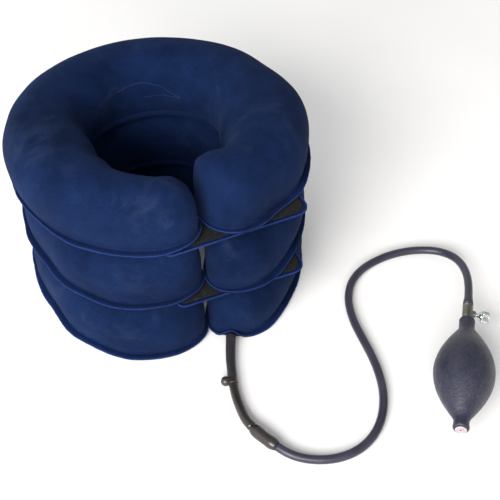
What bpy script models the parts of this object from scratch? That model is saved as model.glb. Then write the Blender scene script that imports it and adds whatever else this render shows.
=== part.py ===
"""Inflatable cervical traction collar: three stacked C-shaped air rings in
velour covers, two closure straps, a rubber air line and a hand pump bulb with
an air release valve.

Metres, +Z up.  The collar stands on z = 0 with its slot facing -Y, and the
pump bulb lies on z = 0 at the front right.  All dimensions below are in
millimetres and are scaled by MM where meshes are made.
"""
import math

import bmesh
import bpy
from mathutils import Matrix, Vector

MM = 0.001

# ---------------------------------------------------------------- frame
COLLAR = (-47.45, 93.4)      # centre of the neck opening, in the object frame

# ---------------------------------------------------------------- air rings
PITCH = 62.0                # base to base of two stacked rings, inflated
RING_H = 61.4               # height of a ring's cover at the back
SLOT = 5.0                  # gap between the two ends of a ring
BASE_F = 0.86               # base width of the D section / its full width
WIDEST = 0.42               # height of the widest point / ring height
ROUND = 0.85                # superellipse power of the crest
EGG = -0.10                 # rings are narrower at the slot, wider behind
LEAN = 0.05                 # the right end stands a little proud
FRONT_DROP = 4.6            # crest is lower at the front, under the straps
COVER_T = 1.2               # velour and foam laminate
PANEL_T = 1.2
FABRIC_GAP = 0.35
HEM_OUT = 6.0               # sewn hem outside the dome
HEM_END = 1.8
HEM_IN = 3.0
BLADDER_T = 0.8
BLADDER_IN = 3.2            # bladder stands this far inside the cover
STATIONS = 25               # cross sections along each C
RINGS = {
    # name: (half length X, half length Y, half width, left taper, right taper)
    "bottom": (95.0, 95.5, 35.0, 58.0, 42.0),
    "middle": (95.0, 95.0, 35.0, 72.0, 42.0),
    "top": (94.0, 93.0, 35.0, 66.0, 30.0),
}
# Hand-sewn unevenness: angle from the slot in degrees, how far the tube of the
# ring stands out there, and how much wider it is on each side, in mm.
UNEVEN = {
    "bottom": ((0, -1, 0), (20, 1, 0), (40, 4, 1), (62, 1, 0), (85, -4.5, -4),
               (105, -4.5, -4), (130, 0, 0), (225, -1, -1), (250, 0, 0),
               (290, 2, 1), (320, 2, 1), (345, 5, 1), (360, 6, 0)),
    "middle": ((0, -3, 0), (20, -1, 0), (40, 1, 0.5), (62, -1, -1), (85, -5, -4.5),
               (105, -4.5, -4), (130, 0, 0), (225, -1, -1), (250, 0, 0),
               (290, 2, 2), (320, 3, 2), (345, 5, 2), (360, 7, 0)),
    "top": ((0, 0, 1), (12, 5, -5.5), (25, 10, -11.5), (42, 10, -11), (62, 5.5, -5),
            (85, 0, 0), (130, 0, 0), (180, 0, 0), (225, -3, -3), (250, -2, -2),
            (290, 4, 4), (310, 7, 0), (330, 5, -8), (346, -1, -3), (355, -7, 2),
            (360, -8, 3)),
}
TOP_HEM_SIDE = 2.0          # the top ring's hem is trimmed narrow at its left
LEVEL = {"bottom": 0.0, "middle": PITCH, "top": 2.0 * PITCH}

# ---------------------------------------------------------------- air passages
PORT_TUBE_R = 4.2
PORT_BORE_R = 2.8
PORT_FLANGE_R = 7.0

# ---------------------------------------------------------------- straps
STRAP_T = 1.1
PAD_T = 0.7
STRAP_W = 33.0
STRAP_BIND = 2.2            # fabric border left bare around the loop pad
STRAPS = {
    # name: (level, left end x, right end x, centre y, turn in degrees)
    "upper": (2.0 * PITCH, -41.0, 93.0, -101.0, -1.0),
    "lower": (PITCH, -33.0, 88.0, -106.0, -3.0),
}

# ---------------------------------------------------------------- air line
TUBE_R = 4.1                # collar side tube, 8.2 mm outside
HOSE_R = 3.75               # pump side hose, 7.5 mm outside
SLEEVE_R = 5.4
SLEEVE_L = 27.0
JOINER_R = 2.6
FLOOR_GAP = 0.1
END_GAP = 0.3
TUBE_STEP = 12.0            # spacing of the centreline points

# ---------------------------------------------------------------- pump
PUMP_MOUTH = (201.5, -215.4, 26.3)   # from the collar centre; mouth of the bulb
PUMP_END = (128.6, -311.1)           # the tail end lies along this line
BULB_R = 26.0
BULB_L = 119.0
BULB_T = 2.4
NECK_R = 6.9
NECK_L = 13.0
TAIL_R = 6.4
TAIL_L = 10.0
STUB_R = 4.3                # valve stub inside the bulb neck
VALVE_R = 4.7
VALVE_L = 17.4
SCREW_AT = -8.6             # thumbscrew axis, along the pump axis from the mouth
SCREW_TILT = 12.0           # degrees below horizontal
SCREW_R = 1.9
HEAD_R = 5.4
KNURLS = 18


# ---------------------------------------------------------------- scene helpers
for ob in list(bpy.data.objects):
    bpy.data.objects.remove(ob, do_unlink=True)


def collection(name):
    col = bpy.data.collections.get(name)
    if col is None:
        col = bpy.data.collections.new(name)
        bpy.context.scene.collection.children.link(col)
    return col


PARTS = collection("cervical_traction_device")
CUTTERS = collection("cutters")


def material(name, colour, roughness, metallic=0.0):
    mat = bpy.data.materials.new(name)
    mat.use_nodes = True
    bsdf = mat.node_tree.nodes["Principled BSDF"]
    bsdf.inputs["Base Color"].default_value = (*colour, 1.0)
    bsdf.inputs["Roughness"].default_value = roughness
    bsdf.inputs["Metallic"].default_value = metallic
    mat.diffuse_color = (*colour, 1.0)
    return mat


def add(name, mesh, mat, matrix=None, cutter=False):
    ob = bpy.data.objects.new(name, mesh)
    (CUTTERS if cutter else PARTS).objects.link(ob)
    if matrix is not None:
        ob.matrix_world = matrix
    if cutter:
        ob.hide_render = True
        ob.display_type = "WIRE"
    else:
        mesh.materials.clear()
        mesh.materials.append(material(name + "_mat", *mat))
    return ob


def smooth(ob, angle=40.0):
    ob.data.shade_smooth()
    ob.data.set_sharp_from_angle(angle=math.radians(angle))


def place(x, y, z):
    """Collar coordinates in mm to a point of the object frame in metres."""
    return Vector((COLLAR[0] + x, COLLAR[1] + y, z)) * MM


def frame(origin, z_axis, x_hint):
    """Matrix whose local +Z runs along z_axis; origin in metres."""
    z = Vector(z_axis).normalized()
    x = Vector(x_hint)
    x = (x - z * x.dot(z)).normalized()
    y = z.cross(x)
    m = Matrix((x, y, z)).transposed().to_4x4()
    m.translation = origin
    return m


def cut(ob, cutter, operation="DIFFERENCE"):
    mod = ob.modifiers.new(operation.lower() + "_" + cutter.name, "BOOLEAN")
    mod.operation = operation
    mod.solver = "EXACT"
    mod.object = cutter
    return mod


def rod_cutter(name, radius, z0, z1, matrix, segments=20):
    """Cylinder from local z0 to z1 (mm) along a frame's +Z."""
    bm = bmesh.new()
    bmesh.ops.create_cone(bm, cap_ends=True, cap_tris=False, segments=segments,
                          radius1=radius * MM, radius2=radius * MM,
                          depth=(z1 - z0) * MM,
                          matrix=Matrix.Translation((0, 0, (z0 + z1) * 0.5 * MM)))
    mesh = bpy.data.meshes.new(name)
    bm.to_mesh(mesh)
    bm.free()
    return add(name, mesh, None, matrix, cutter=True)


def turned(name, profile, matrix, mat, segments=24, closed=True, cutter=False):
    """Turn a (radius, height) profile in mm about local Z with a Screw."""
    bm = bmesh.new()
    verts = [bm.verts.new((r * MM, 0.0, h * MM)) for r, h in profile]
    for a, b in zip(verts, verts[1:]):
        bm.edges.new((a, b))
    if closed:
        bm.edges.new((verts[-1], verts[0]))
    mesh = bpy.data.meshes.new(name)
    bm.to_mesh(mesh)
    bm.free()
    ob = add(name, mesh, mat, matrix, cutter=cutter)
    mod = ob.modifiers.new("turn", "SCREW")
    mod.axis = "Z"
    mod.angle = 2.0 * math.pi
    mod.steps = segments
    mod.render_steps = segments
    mod.use_merge_vertices = True
    mod.merge_threshold = 0.00005
    mod.use_smooth_shade = True
    return ob


# ---------------------------------------------------------------- air rings
def front_weight(theta):
    """1 near the slot, 0 from the sides backwards."""
    c = max(0.0, math.cos(theta) - 0.1) / 0.6
    c = min(1.0, c)
    return c * c * (3.0 - 2.0 * c)


def taper(d, length, power):
    u = min(1.0, max(0.0, 1.0 - d / length))
    return (1.0 - u ** power) ** (1.0 / power)


def uneven(name, theta):
    """Outward shift and extra half width of a ring at an angle from its slot."""
    d = math.degrees(theta)
    knots = UNEVEN[name]
    for (a, s0, w0), (b, s1, w1) in zip(knots, knots[1:]):
        if d <= b:
            f = (d - a) / (b - a)
            f = f * f * (3.0 - 2.0 * f)
            return s0 + (s1 - s0) * f, w0 + (w1 - w0) * f
    return knots[-1][1], knots[-1][2]


def ring_path(name):
    """Stations along the C: centre, outward normal, half width and height."""
    rx, ry, half_w, left, right = RINGS[name]
    n = 3600
    pts = []
    for i in range(n + 1):
        t = 2.0 * math.pi * i / n
        x = -rx * math.sin(t) * (1.0 + EGG * math.cos(t))
        y = -ry * math.cos(t) * (1.0 - LEAN * math.sin(t) * max(0.0, math.cos(t)))
        pts.append((x, y, t))
    s = [0.0]
    for a, b in zip(pts, pts[1:]):
        s.append(s[-1] + math.hypot(b[0] - a[0], b[1] - a[1]))
    total = s[-1]
    start, end = SLOT / 2.0, total - SLOT / 2.0
    out = []
    k = 0
    for i in range(STATIONS):
        u = i / (STATIONS - 1)
        q = 0.60 * (0.5 - 0.5 * math.cos(math.pi * u)) + 0.40 * u
        d_end = 0.25
        target = start + d_end + q * (end - start - 2.0 * d_end)
        while s[k + 1] < target:
            k += 1
        f = (target - s[k]) / (s[k + 1] - s[k])
        a, b = pts[k], pts[k + 1]
        x, y, t = (a[j] + f * (b[j] - a[j]) for j in range(3))
        tx, ty = b[0] - a[0], b[1] - a[1]
        ln = math.hypot(tx, ty)
        nx, ny = -ty / ln, tx / ln
        if nx * x + ny * y < 0.0:
            nx, ny = -nx, -ny
        near = min(target - start, end - target)
        length = left if target < total / 2.0 else right
        w = half_w * (1.0 + 0.06 * math.sin(t) ** 2
                      - 0.10 * max(0.0, -math.cos(t)) ** 2)
        kw = taper(near, length, 2.1)
        kh = taper(near, length * 0.75, 3.0)
        shift, widen = uneven(name, t)
        x, y = x + nx * shift, y + ny * shift
        w += widen
        drop = FRONT_DROP * front_weight(t) if name != "top" else 0.0
        out.append(dict(c=(x, y), n=(nx, ny), w=w * kw, h=RING_H - drop, k=kh,
                        t=t, near=near))
    return out


def section(arc, low):
    """Unit D section from the outer base point over the crest to the inner."""
    side = []
    a0 = math.acos(BASE_F)
    for i in range(low):
        a = a0 * (1.0 - i / low)
        side.append((math.cos(a), WIDEST * (1.0 - math.sin(a) / math.sin(a0))))
    pts = list(side)
    for i in range(arc):
        a = math.pi * i / (arc - 1)
        c, s = math.cos(a), math.sin(a)
        pts.append((math.copysign(abs(c) ** ROUND, c),
                    WIDEST + (1.0 - WIDEST) * abs(s) ** ROUND))
    pts += [(-x, z) for x, z in reversed(side)]
    return pts


def ring_grid(bm, name, inset, low_z, top_cut, arc, low):
    """Grid of section vertices of one ring, inset (mm) from the cover."""
    z0 = LEVEL[name]
    prof = section(arc, low)
    rows = []
    for st in ring_path(name):
        w = max(st["w"] - inset, 1.2)
        h = max(st["h"] * st["k"] - low_z - top_cut, 4.0)
        row = []
        for px, pz in prof:
            x = st["c"][0] + st["n"][0] * px * w
            y = st["c"][1] + st["n"][1] * px * w
            row.append(bm.verts.new(place(x, y, z0 + low_z + pz * h)))
        rows.append(row)
    return rows


def skin(bm, rows):
    for a, b in zip(rows, rows[1:]):
        for j in range(len(a) - 1):
            bm.faces.new((a[j], a[j + 1], b[j + 1], b[j]))


def base_outline(name):
    """Closed base outline of the dome and the hem width at each of its points."""
    path = ring_path(name)
    outer, inner = [], []
    for st in path:
        w = st["w"] * BASE_F
        end = min(1.0, st["near"] / 30.0)
        hem_out = HEM_OUT
        if name == "top":
            d = math.degrees(st["t"])
            side_w = min(1.0, max(0.0, (d - 55.0) / 20.0, 0.0)) * min(
                1.0, max(0.0, (150.0 - d) / 20.0))
            hem_out += (TOP_HEM_SIDE - HEM_OUT) * side_w
        for side, hem, store in ((1.0, hem_out, outer), (-1.0, HEM_IN, inner)):
            store.append((st["c"][0] + st["n"][0] * side * w,
                          st["c"][1] + st["n"][1] * side * w,
                          HEM_END + (hem - HEM_END) * end))
    return outer, inner


def hem_loop(name):
    """Outline of the sewn hem, offset outwards from the dome's base."""
    outer, inner = base_outline(name)
    loop = outer + inner[::-1]
    n = len(loop)
    area = sum(loop[i][0] * loop[(i + 1) % n][1] - loop[(i + 1) % n][0] * loop[i][1]
               for i in range(n))
    turn = 1.0 if area > 0 else -1.0
    out = []
    for i in range(n):
        ax, ay, _ = loop[i - 1]
        bx, by, _ = loop[(i + 1) % n]
        ln = math.hypot(bx - ax, by - ay)
        nx, ny = turn * (by - ay) / ln, -turn * (bx - ax) / ln
        x, y, hem = loop[i]
        out.append((x + nx * hem, y + ny * hem))
    return loop, out


def ring_cover(name, mat):
    bm = bmesh.new()
    low_z = PANEL_T + FABRIC_GAP
    rows = ring_grid(bm, name, COVER_T, low_z, COVER_T, 9, 2)
    skin(bm, rows)
    bm.faces.new(rows[0][::-1])
    bm.faces.new(rows[-1])
    # flat hem around the whole base
    loop, hem = hem_loop(name)
    base = [r[0] for r in rows] + [r[-1] for r in rows[::-1]]
    z = LEVEL[name] + low_z
    rim = [bm.verts.new(place(x, y, z)) for x, y in hem]
    n = len(base)
    for i in range(n):
        j = (i + 1) % n
        bm.faces.new((base[i], base[j], rim[j], rim[i]))
    bmesh.ops.recalc_face_normals(bm, faces=bm.faces)
    top = max(bm.faces, key=lambda f: f.calc_center_median().z)
    if top.normal.z < 0.0:
        bmesh.ops.reverse_faces(bm, faces=bm.faces)
    mesh = bpy.data.meshes.new(name + "_ring_cover")
    bm.to_mesh(mesh)
    bm.free()
    ob = add(name + "_ring_cover", mesh, mat)
    smooth(ob, 50.0)
    mod = ob.modifiers.new("cloth", "SOLIDIFY")
    mod.thickness = COVER_T * MM
    mod.offset = 1.0
    mod.use_even_offset = False
    return ob


def ring_bladder(name, mat):
    bm = bmesh.new()
    low_z = PANEL_T + FABRIC_GAP + 0.9
    rows = ring_grid(bm, name, BLADDER_IN, low_z, 2.2 + COVER_T, 7, 1)
    skin(bm, rows)
    for a, b in zip(rows, rows[1:]):
        bm.faces.new((b[0], b[-1], a[-1], a[0]))
    bm.faces.new(rows[0][::-1])
    bm.faces.new(rows[-1])
    bmesh.ops.recalc_face_normals(bm, faces=bm.faces)
    mesh = bpy.data.meshes.new(name + "_ring_bladder")
    bm.to_mesh(mesh)
    bm.free()
    ob = add(name + "_ring_bladder", mesh, mat)
    smooth(ob, 50.0)
    mod = ob.modifiers.new("wall", "SOLIDIFY")
    mod.thickness = BLADDER_T * MM
    mod.offset = -1.0
    mod.use_even_offset = False
    return ob


def plate(name, outline, z0, thickness, mat, holes=()):
    """Flat sheet from a closed outline in collar mm, bottom face at z0."""
    cu = bpy.data.curves.new(name + "_outline", "CURVE")
    cu.dimensions = "2D"
    cu.fill_mode = "BOTH"
    cu.extrude = thickness * 0.5 * MM
    for pts in (outline, *holes):
        sp = cu.splines.new("POLY")
        sp.points.add(len(pts) - 1)
        for p, (x, y) in zip(sp.points, pts):
            v = place(x, y, 0.0)
            p.co = (v.x, v.y, 0.0, 1.0)
        sp.use_cyclic_u = True
    tmp = bpy.data.objects.new(name + "_tmp", cu)
    PARTS.objects.link(tmp)
    tmp.location = (0.0, 0.0, (z0 + thickness * 0.5) * MM)
    bpy.context.view_layer.update()
    dg = bpy.context.evaluated_depsgraph_get()
    mesh = bpy.data.meshes.new_from_object(tmp.evaluated_get(dg))
    mesh.name = name
    bm = bmesh.new()
    bm.from_mesh(mesh)
    bmesh.ops.remove_doubles(bm, verts=bm.verts, dist=0.00001)
    bmesh.ops.recalc_face_normals(bm, faces=bm.faces)
    bm.to_mesh(mesh)
    bm.free()
    matrix = tmp.matrix_world.copy()
    bpy.data.objects.remove(tmp, do_unlink=True)
    return add(name, mesh, mat, matrix)


def circle(cx, cy, r, n=20):
    return [(cx + r * math.cos(2 * math.pi * i / n),
             cy + r * math.sin(2 * math.pi * i / n)) for i in range(n)]


VELOUR = ((0.012, 0.026, 0.125), 0.9)
VELOUR_BASE = ((0.010, 0.020, 0.095), 0.92)
BLADDER = ((0.60, 0.62, 0.66), 0.45)
PVC = ((0.70, 0.72, 0.75), 0.40)
LOOP = ((0.028, 0.028, 0.030), 0.95)
RUBBER_DARK = ((0.045, 0.040, 0.045), 0.55)
RUBBER_GLOSS = ((0.060, 0.050, 0.048), 0.28)
RUBBER_BLUE = ((0.065, 0.065, 0.115), 0.42)
RUBBER_BULB = ((0.060, 0.065, 0.110), 0.38)
BRASS = ((0.33, 0.33, 0.29), 0.35, 1.0)
CHROME = ((0.70, 0.72, 0.72), 0.18, 1.0)
STEEL = ((0.55, 0.56, 0.57), 0.25, 1.0)
PALE = ((0.78, 0.68, 0.74), 0.45)

port_y = {n: RINGS[n][1] for n in RINGS}    # air passages sit at the back
covers, panels, bladders = {}, {}, {}
for ring in RINGS:
    covers[ring] = ring_cover(ring, VELOUR)
    bladders[ring] = ring_bladder(ring, BLADDER)
    _, hem = hem_loop(ring)
    holes = []
    if ring != "bottom":
        holes.append(circle(0.0, 95.0, PORT_TUBE_R + 0.5))
    panels[ring] = plate(ring + "_ring_base_panel", hem, LEVEL[ring], PANEL_T,
                         VELOUR_BASE, holes)

# air passage through the crest of one ring and the floor of the next
for lower, upper, name in (("bottom", "middle", "lower_air_transfer_tube"),
                           ("middle", "top", "upper_air_transfer_tube")):
    z1 = LEVEL[upper]
    m = frame(place(0.0, 95.0, z1), (0, 0, 1), (1, 0, 0))
    hole = rod_cutter(name + "_hole", PORT_TUBE_R + 0.5, -12.0, 8.0, m)
    for ob in (covers[lower], bladders[lower], bladders[upper]):
        cut(ob, hole)
    top_z, low_z = 6.4, -8.8
    turned(name, [
        (PORT_FLANGE_R, top_z), (PORT_FLANGE_R, top_z - 1.2),
        (PORT_TUBE_R, top_z - 1.2), (PORT_TUBE_R, low_z + 1.2),
        (PORT_FLANGE_R, low_z + 1.2), (PORT_FLANGE_R, low_z),
        (PORT_BORE_R, low_z), (PORT_BORE_R, top_z)], m, PVC, 16)

# ---------------------------------------------------------------- straps
def rounded_bar(x0, x1, half_w, cy, turn, corner, inset=0.0):
    """Outline of a strap: a bar with round corners, turned about its centre."""
    x0, x1, half_w = x0 + inset, x1 - inset, half_w - inset
    corner = max(corner - inset, 1.0)
    pts = []
    for cx, sy, a0 in ((x1 - corner, 1, 0), (x0 + corner, 1, 90),
                       (x0 + corner, -1, 180), (x1 - corner, -1, 270)):
        for i in range(5):
            a = math.radians(a0 + 22.5 * i)
            pts.append((cx + corner * math.cos(a),
                        sy * (half_w - corner) + corner * math.sin(a)))
    r = math.radians(turn)
    mx = 0.5 * (x0 + x1)
    return [(mx + (x - mx) * math.cos(r) - y * math.sin(r),
             cy + (x - mx) * math.sin(r) + y * math.cos(r)) for x, y in pts]


for which, (level, x0, x1, cy, turn) in STRAPS.items():
    z = level - FABRIC_GAP - PAD_T - 0.3 - PAD_T - 0.3 - STRAP_T
    body = rounded_bar(x0, x1, STRAP_W / 2.0, cy, turn, 7.0)
    pad = rounded_bar(x0, x1, STRAP_W / 2.0, cy, turn, 7.0, STRAP_BIND)
    plate(which + "_closure_strap", body, z, STRAP_T, VELOUR)
    plate(which + "_strap_loop_pad", pad, z + STRAP_T + 0.3, PAD_T, LOOP)
    r = math.radians(turn)
    hx0, hx1 = x0 + 4.0, -11.0
    hook = rounded_bar(hx0, hx1, 9.0, cy + 4.0, turn, 3.0)
    plate(which + "_hook_patch", hook, level - FABRIC_GAP - PAD_T, PAD_T, LOOP)

# ---------------------------------------------------------------- air line
# Route on the floor from the right front end of the bottom ring to the pump.
TUBE_ROUTE = ((12.9, -124.3, 6.6), (9.0, -131.0, 4.6), (4.3, -138.6, 4.2),
              (-2.6, -153.1, 4.2), (-8.6, -169.0, 4.2), (-12.9, -185.8, 4.2),
              (-15.4, -203.5, 4.4), (-16.5, -216.2, 5.5), (-14.4, -221.8, 5.5))
SLEEVE_ROUTE = ((-14.4, -221.8, 5.5), (-4.9, -246.7, 5.5))
HOSE_ROUTE = ((-4.9, -246.7, 5.5), (-2.8, -252.3, 5.5), (3.0, -260.2, 4.4),
              (11.6, -267.4, 3.85), (22.7, -274.0, 3.85), (36.0, -278.4, 3.85),
              (51.9, -279.1, 3.85), (68.4, -274.5, 3.85), (85.8, -262.2, 3.85),
              (98.9, -245.4, 3.85), (106.6, -230.1, 3.85), (112.2, -212.2, 3.85),
              (115.8, -193.9, 3.85), (118.2, -174.2, 3.85), (121.9, -153.0, 3.85),
              (129.0, -133.0, 3.85), (137.3, -120.1, 3.85), (147.8, -109.8, 3.85),
              (163.0, -102.1, 3.85), (184.8, -98.0, 3.85), (207.3, -99.1, 3.9),
              (227.1, -105.9, 4.6), (241.8, -118.2, 7.0), (246.8, -135.9, 11.4),
              (241.7, -156.8, 17.2), (230.0, -177.7, 22.6))


def spline(points, step):
    """Even points on a centripetal Catmull-Rom curve through the route."""
    pts = [Vector(p) for p in points]
    pts = [pts[0] * 2 - pts[1]] + pts + [pts[-1] * 2 - pts[-2]]
    dense = []
    for p0, p1, p2, p3 in zip(pts, pts[1:], pts[2:], pts[3:]):
        t0 = 0.0
        t1 = t0 + math.sqrt((p1 - p0).length)
        t2 = t1 + math.sqrt((p2 - p1).length)
        t3 = t2 + math.sqrt((p3 - p2).length)
        for i in range(24):
            t = t1 + (t2 - t1) * i / 24
            a1 = p0 * ((t1 - t) / (t1 - t0)) + p1 * ((t - t0) / (t1 - t0))
            a2 = p1 * ((t2 - t) / (t2 - t1)) + p2 * ((t - t1) / (t2 - t1))
            a3 = p2 * ((t3 - t) / (t3 - t2)) + p3 * ((t - t2) / (t3 - t2))
            b1 = a1 * ((t2 - t) / (t2 - t0)) + a2 * ((t - t0) / (t2 - t0))
            b2 = a2 * ((t3 - t) / (t3 - t1)) + a3 * ((t - t1) / (t3 - t1))
            dense.append(b1 * ((t2 - t) / (t2 - t1)) + b2 * ((t - t1) / (t2 - t1)))
    dense.append(pts[-2])
    s = [0.0]
    for a, b in zip(dense, dense[1:]):
        s.append(s[-1] + (b - a).length)
    n = max(2, round(s[-1] / step))
    out, k = [], 0
    for i in range(n + 1):
        target = s[-1] * i / n
        while k < len(s) - 2 and s[k + 1] < target:
            k += 1
        f = (target - s[k]) / (s[k + 1] - s[k])
        out.append(dense[k].lerp(dense[k + 1], f))
    return out


def trim(points, start, end):
    """Shorten a polyline by start and end mm."""
    pts = [p.copy() for p in points]
    pts[0] = pts[0] + (pts[1] - pts[0]).normalized() * start
    pts[-1] = pts[-1] + (pts[-2] - pts[-1]).normalized() * end
    return pts


def hose(name, points, radius, mat):
    cu = bpy.data.curves.new(name, "CURVE")
    cu.dimensions = "3D"
    cu.bevel_depth = radius * MM
    cu.bevel_resolution = 2
    cu.use_fill_caps = True
    sp = cu.splines.new("POLY")
    sp.points.add(len(points) - 1)
    for p, co in zip(sp.points, points):
        v = place(*co)
        p.co = (v.x, v.y, v.z, 1.0)
    ob = bpy.data.objects.new(name, cu)
    PARTS.objects.link(ob)
    cu.materials.append(material(name + "_mat", *mat))
    return ob


pump_axis = Vector((PUMP_END[0] - PUMP_MOUTH[0], PUMP_END[1] - PUMP_MOUTH[1], 0.0))
pump_axis.normalize()
mouth = Vector(PUMP_MOUTH)
hose_stop = mouth - pump_axis * (VALVE_L + END_GAP)
tube_points = trim(spline(TUBE_ROUTE, TUBE_STEP), 0.0, 1.1)
hose_points = trim(spline(HOSE_ROUTE + (tuple(hose_stop - pump_axis * 6.0),
                                        tuple(hose_stop)), TUBE_STEP), 2.0 * END_GAP, 0.0)

# the first tube is in two lengths that meet at the side nub
NUB_AT = 4
nub_c = tube_points[NUB_AT]
nub_dir = (tube_points[NUB_AT + 1] - tube_points[NUB_AT - 1]).normalized()
outlet = [p.copy() for p in tube_points[:NUB_AT + 1]]
outlet[-1] = nub_c - nub_dir * 0.2
second = [p.copy() for p in tube_points[NUB_AT:]]
second[0] = nub_c + nub_dir * 0.2
hose("ring_outlet_tube", outlet, TUBE_R, RUBBER_DARK)
hose("collar_hose", second, TUBE_R, RUBBER_GLOSS)
hose("pump_hose", hose_points, HOSE_R, RUBBER_BLUE)

# ball-ended nub moulded on a saddle that grips the tube
side = Vector((nub_dir.y, -nub_dir.x, 0.0)).normalized()
if side.x > 0.0:
    side = -side
NUB_R = 4.6
nub_centre = nub_c + side * 6.2 + Vector((0, 0, 0.6))
bm = bmesh.new()
bmesh.ops.create_uvsphere(bm, u_segments=20, v_segments=12, radius=NUB_R * MM)
mesh = bpy.data.meshes.new("hose_side_nub")
bm.to_mesh(mesh)
bm.free()
nub = add("hose_side_nub", mesh, RUBBER_GLOSS,
          Matrix.Translation(place(*nub_centre)))
smooth(nub)
nub_cut = rod_cutter("nub_cut", TUBE_R + 0.3, -20.0, 20.0,
                     frame(place(*nub_c), nub_dir, (0, 0, 1)), 16)
cut(nub, nub_cut)

# barbed joiner inside a thick sleeve
s0, s1 = Vector(SLEEVE_ROUTE[0]), Vector(SLEEVE_ROUTE[1])
s_dir = (s1 - s0).normalized()
sleeve_len = (s1 - s0).length
m = frame(place(*s0), s_dir, (0, 0, 1))
turned("joint_sleeve", [
    (TUBE_R + 0.1, sleeve_len - 0.1), (SLEEVE_R - 0.2, sleeve_len - 3.5),
    (SLEEVE_R, sleeve_len - 8.0), (SLEEVE_R, 8.0), (SLEEVE_R - 0.2, 3.5),
    (TUBE_R + 0.3, 0.1), (JOINER_R + 0.3, 0.1),
    (JOINER_R + 0.3, sleeve_len - 0.1)], m, RUBBER_GLOSS, 16)
turned("hose_joiner", [
    (JOINER_R - 0.5, sleeve_len - 0.6), (JOINER_R, sleeve_len - 4.0),
    (JOINER_R - 0.5, sleeve_len - 4.2), (JOINER_R - 0.5, 4.2),
    (JOINER_R, 4.0), (JOINER_R - 0.5, 0.6), (1.4, 0.6),
    (1.4, sleeve_len - 0.6)], m, PALE, 12)

# inlet nipple: flange inside the bladder, stem out through bladder and cover
t0, t1 = Vector(TUBE_ROUTE[0]), Vector(TUBE_ROUTE[1])
out_dir = (t1 - t0).normalized()
m = frame(place(*t0), out_dir, (0, 0, 1))
STEM_R = 2.5
INLET_IN = 13.0
stem_hole = rod_cutter("inlet_hole", STEM_R + 0.4, -INLET_IN, 3.0, m, 16)
tube_notch = rod_cutter("tube_notch", TUBE_R + 0.5, -0.6, 24.0, m, 20)
cut(bladders["bottom"], stem_hole)
cut(covers["bottom"], stem_hole)
cut(covers["bottom"], tube_notch)
cut(panels["bottom"], tube_notch)
turned("inlet_nipple", [
    (STEM_R, -END_GAP), (STEM_R, -INLET_IN), (4.0, -INLET_IN),
    (4.0, -INLET_IN - 1.2), (1.4, -INLET_IN - 1.2), (1.4, -END_GAP)], m, PVC, 16)

# ---------------------------------------------------------------- pump bulb
across = Vector((-pump_axis.y, pump_axis.x, 0.0))
if across.x < 0.0:
    across = -across
pump = frame(place(*mouth), pump_axis, across)


def bulb_radius(t):
    """Outer radius of the bulb along its axis, from the mouth."""
    if t <= NECK_L:
        return NECK_R
    if t >= BULB_L - TAIL_L:
        return TAIL_R
    u = (t - NECK_L) / (BULB_L - TAIL_L - NECK_L)
    base = NECK_R + (TAIL_R - NECK_R) * u
    return base + (BULB_R - 0.5 * (NECK_R + TAIL_R)) * math.sin(math.pi * u)


steps = 11
body_t = [NECK_L + (BULB_L - TAIL_L - NECK_L) * i / steps for i in range(steps + 1)]
outer = ([(TAIL_R - 0.8, BULB_L), (TAIL_R, BULB_L - 1.0)]
         + [(bulb_radius(t), t) for t in reversed(body_t)]
         + [(NECK_R, 2.0), (NECK_R - 1.4, 0.0)])
BORE_NECK = STUB_R + 0.3
BORE_TAIL = 4.3
inner = ([(BORE_NECK, 0.0), (BORE_NECK, NECK_L + 2.0)]
         + [(bulb_radius(t) - BULB_T - 0.35, t) for t in body_t[2:-2]]
         + [(BORE_TAIL, BULB_L - TAIL_L - 2.0), (BORE_TAIL, BULB_L)])
bulb = turned("pump_bulb", outer + inner, pump, RUBBER_BULB, 24)

# ---------------------------------------------------------------- release valve
valve = turned("release_valve_body", [
    (STUB_R - 0.3, 12.0), (STUB_R, 11.0), (STUB_R, 9.0), (STUB_R - 0.3, 8.6),
    (STUB_R, 5.0), (STUB_R - 0.3, 4.6), (STUB_R - 0.3, -0.6),
    (VALVE_R, -0.6), (VALVE_R, -VALVE_L + 0.6), (VALVE_R - 0.5, -VALVE_L),
    (1.2, -VALVE_L), (1.2, 2.0), (2.45, 2.6), (2.45, 9.0), (3.2, 9.0),
    (3.2, 12.0)], pump, BRASS, 24)
tilt = math.radians(SCREW_TILT)
screw_dir = across * math.cos(tilt) - Vector((0, 0, 1)) * math.sin(tilt)
screw_origin = mouth + pump_axis * SCREW_AT
screw = frame(place(*screw_origin), screw_dir, pump_axis)
boss = rod_cutter("release_boss", 3.3, 3.0, 6.6, screw, 20)
cut(valve, boss, "UNION")
orifice = rod_cutter("release_orifice", 0.9, 0.2, 4.0, screw, 16)
thread = rod_cutter("release_thread_bore", SCREW_R + 0.3, 2.6, 9.0, screw, 20)
cut(valve, orifice)
cut(valve, thread)

needle = turned("release_needle", [
    (0.0, 5.6), (SCREW_R - 0.1, 5.6), (SCREW_R - 0.1, 3.0), (0.7, 3.0),
    (0.45, 1.7), (0.0, 1.7)][:], screw, STEEL, 16, closed=False)

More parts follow.
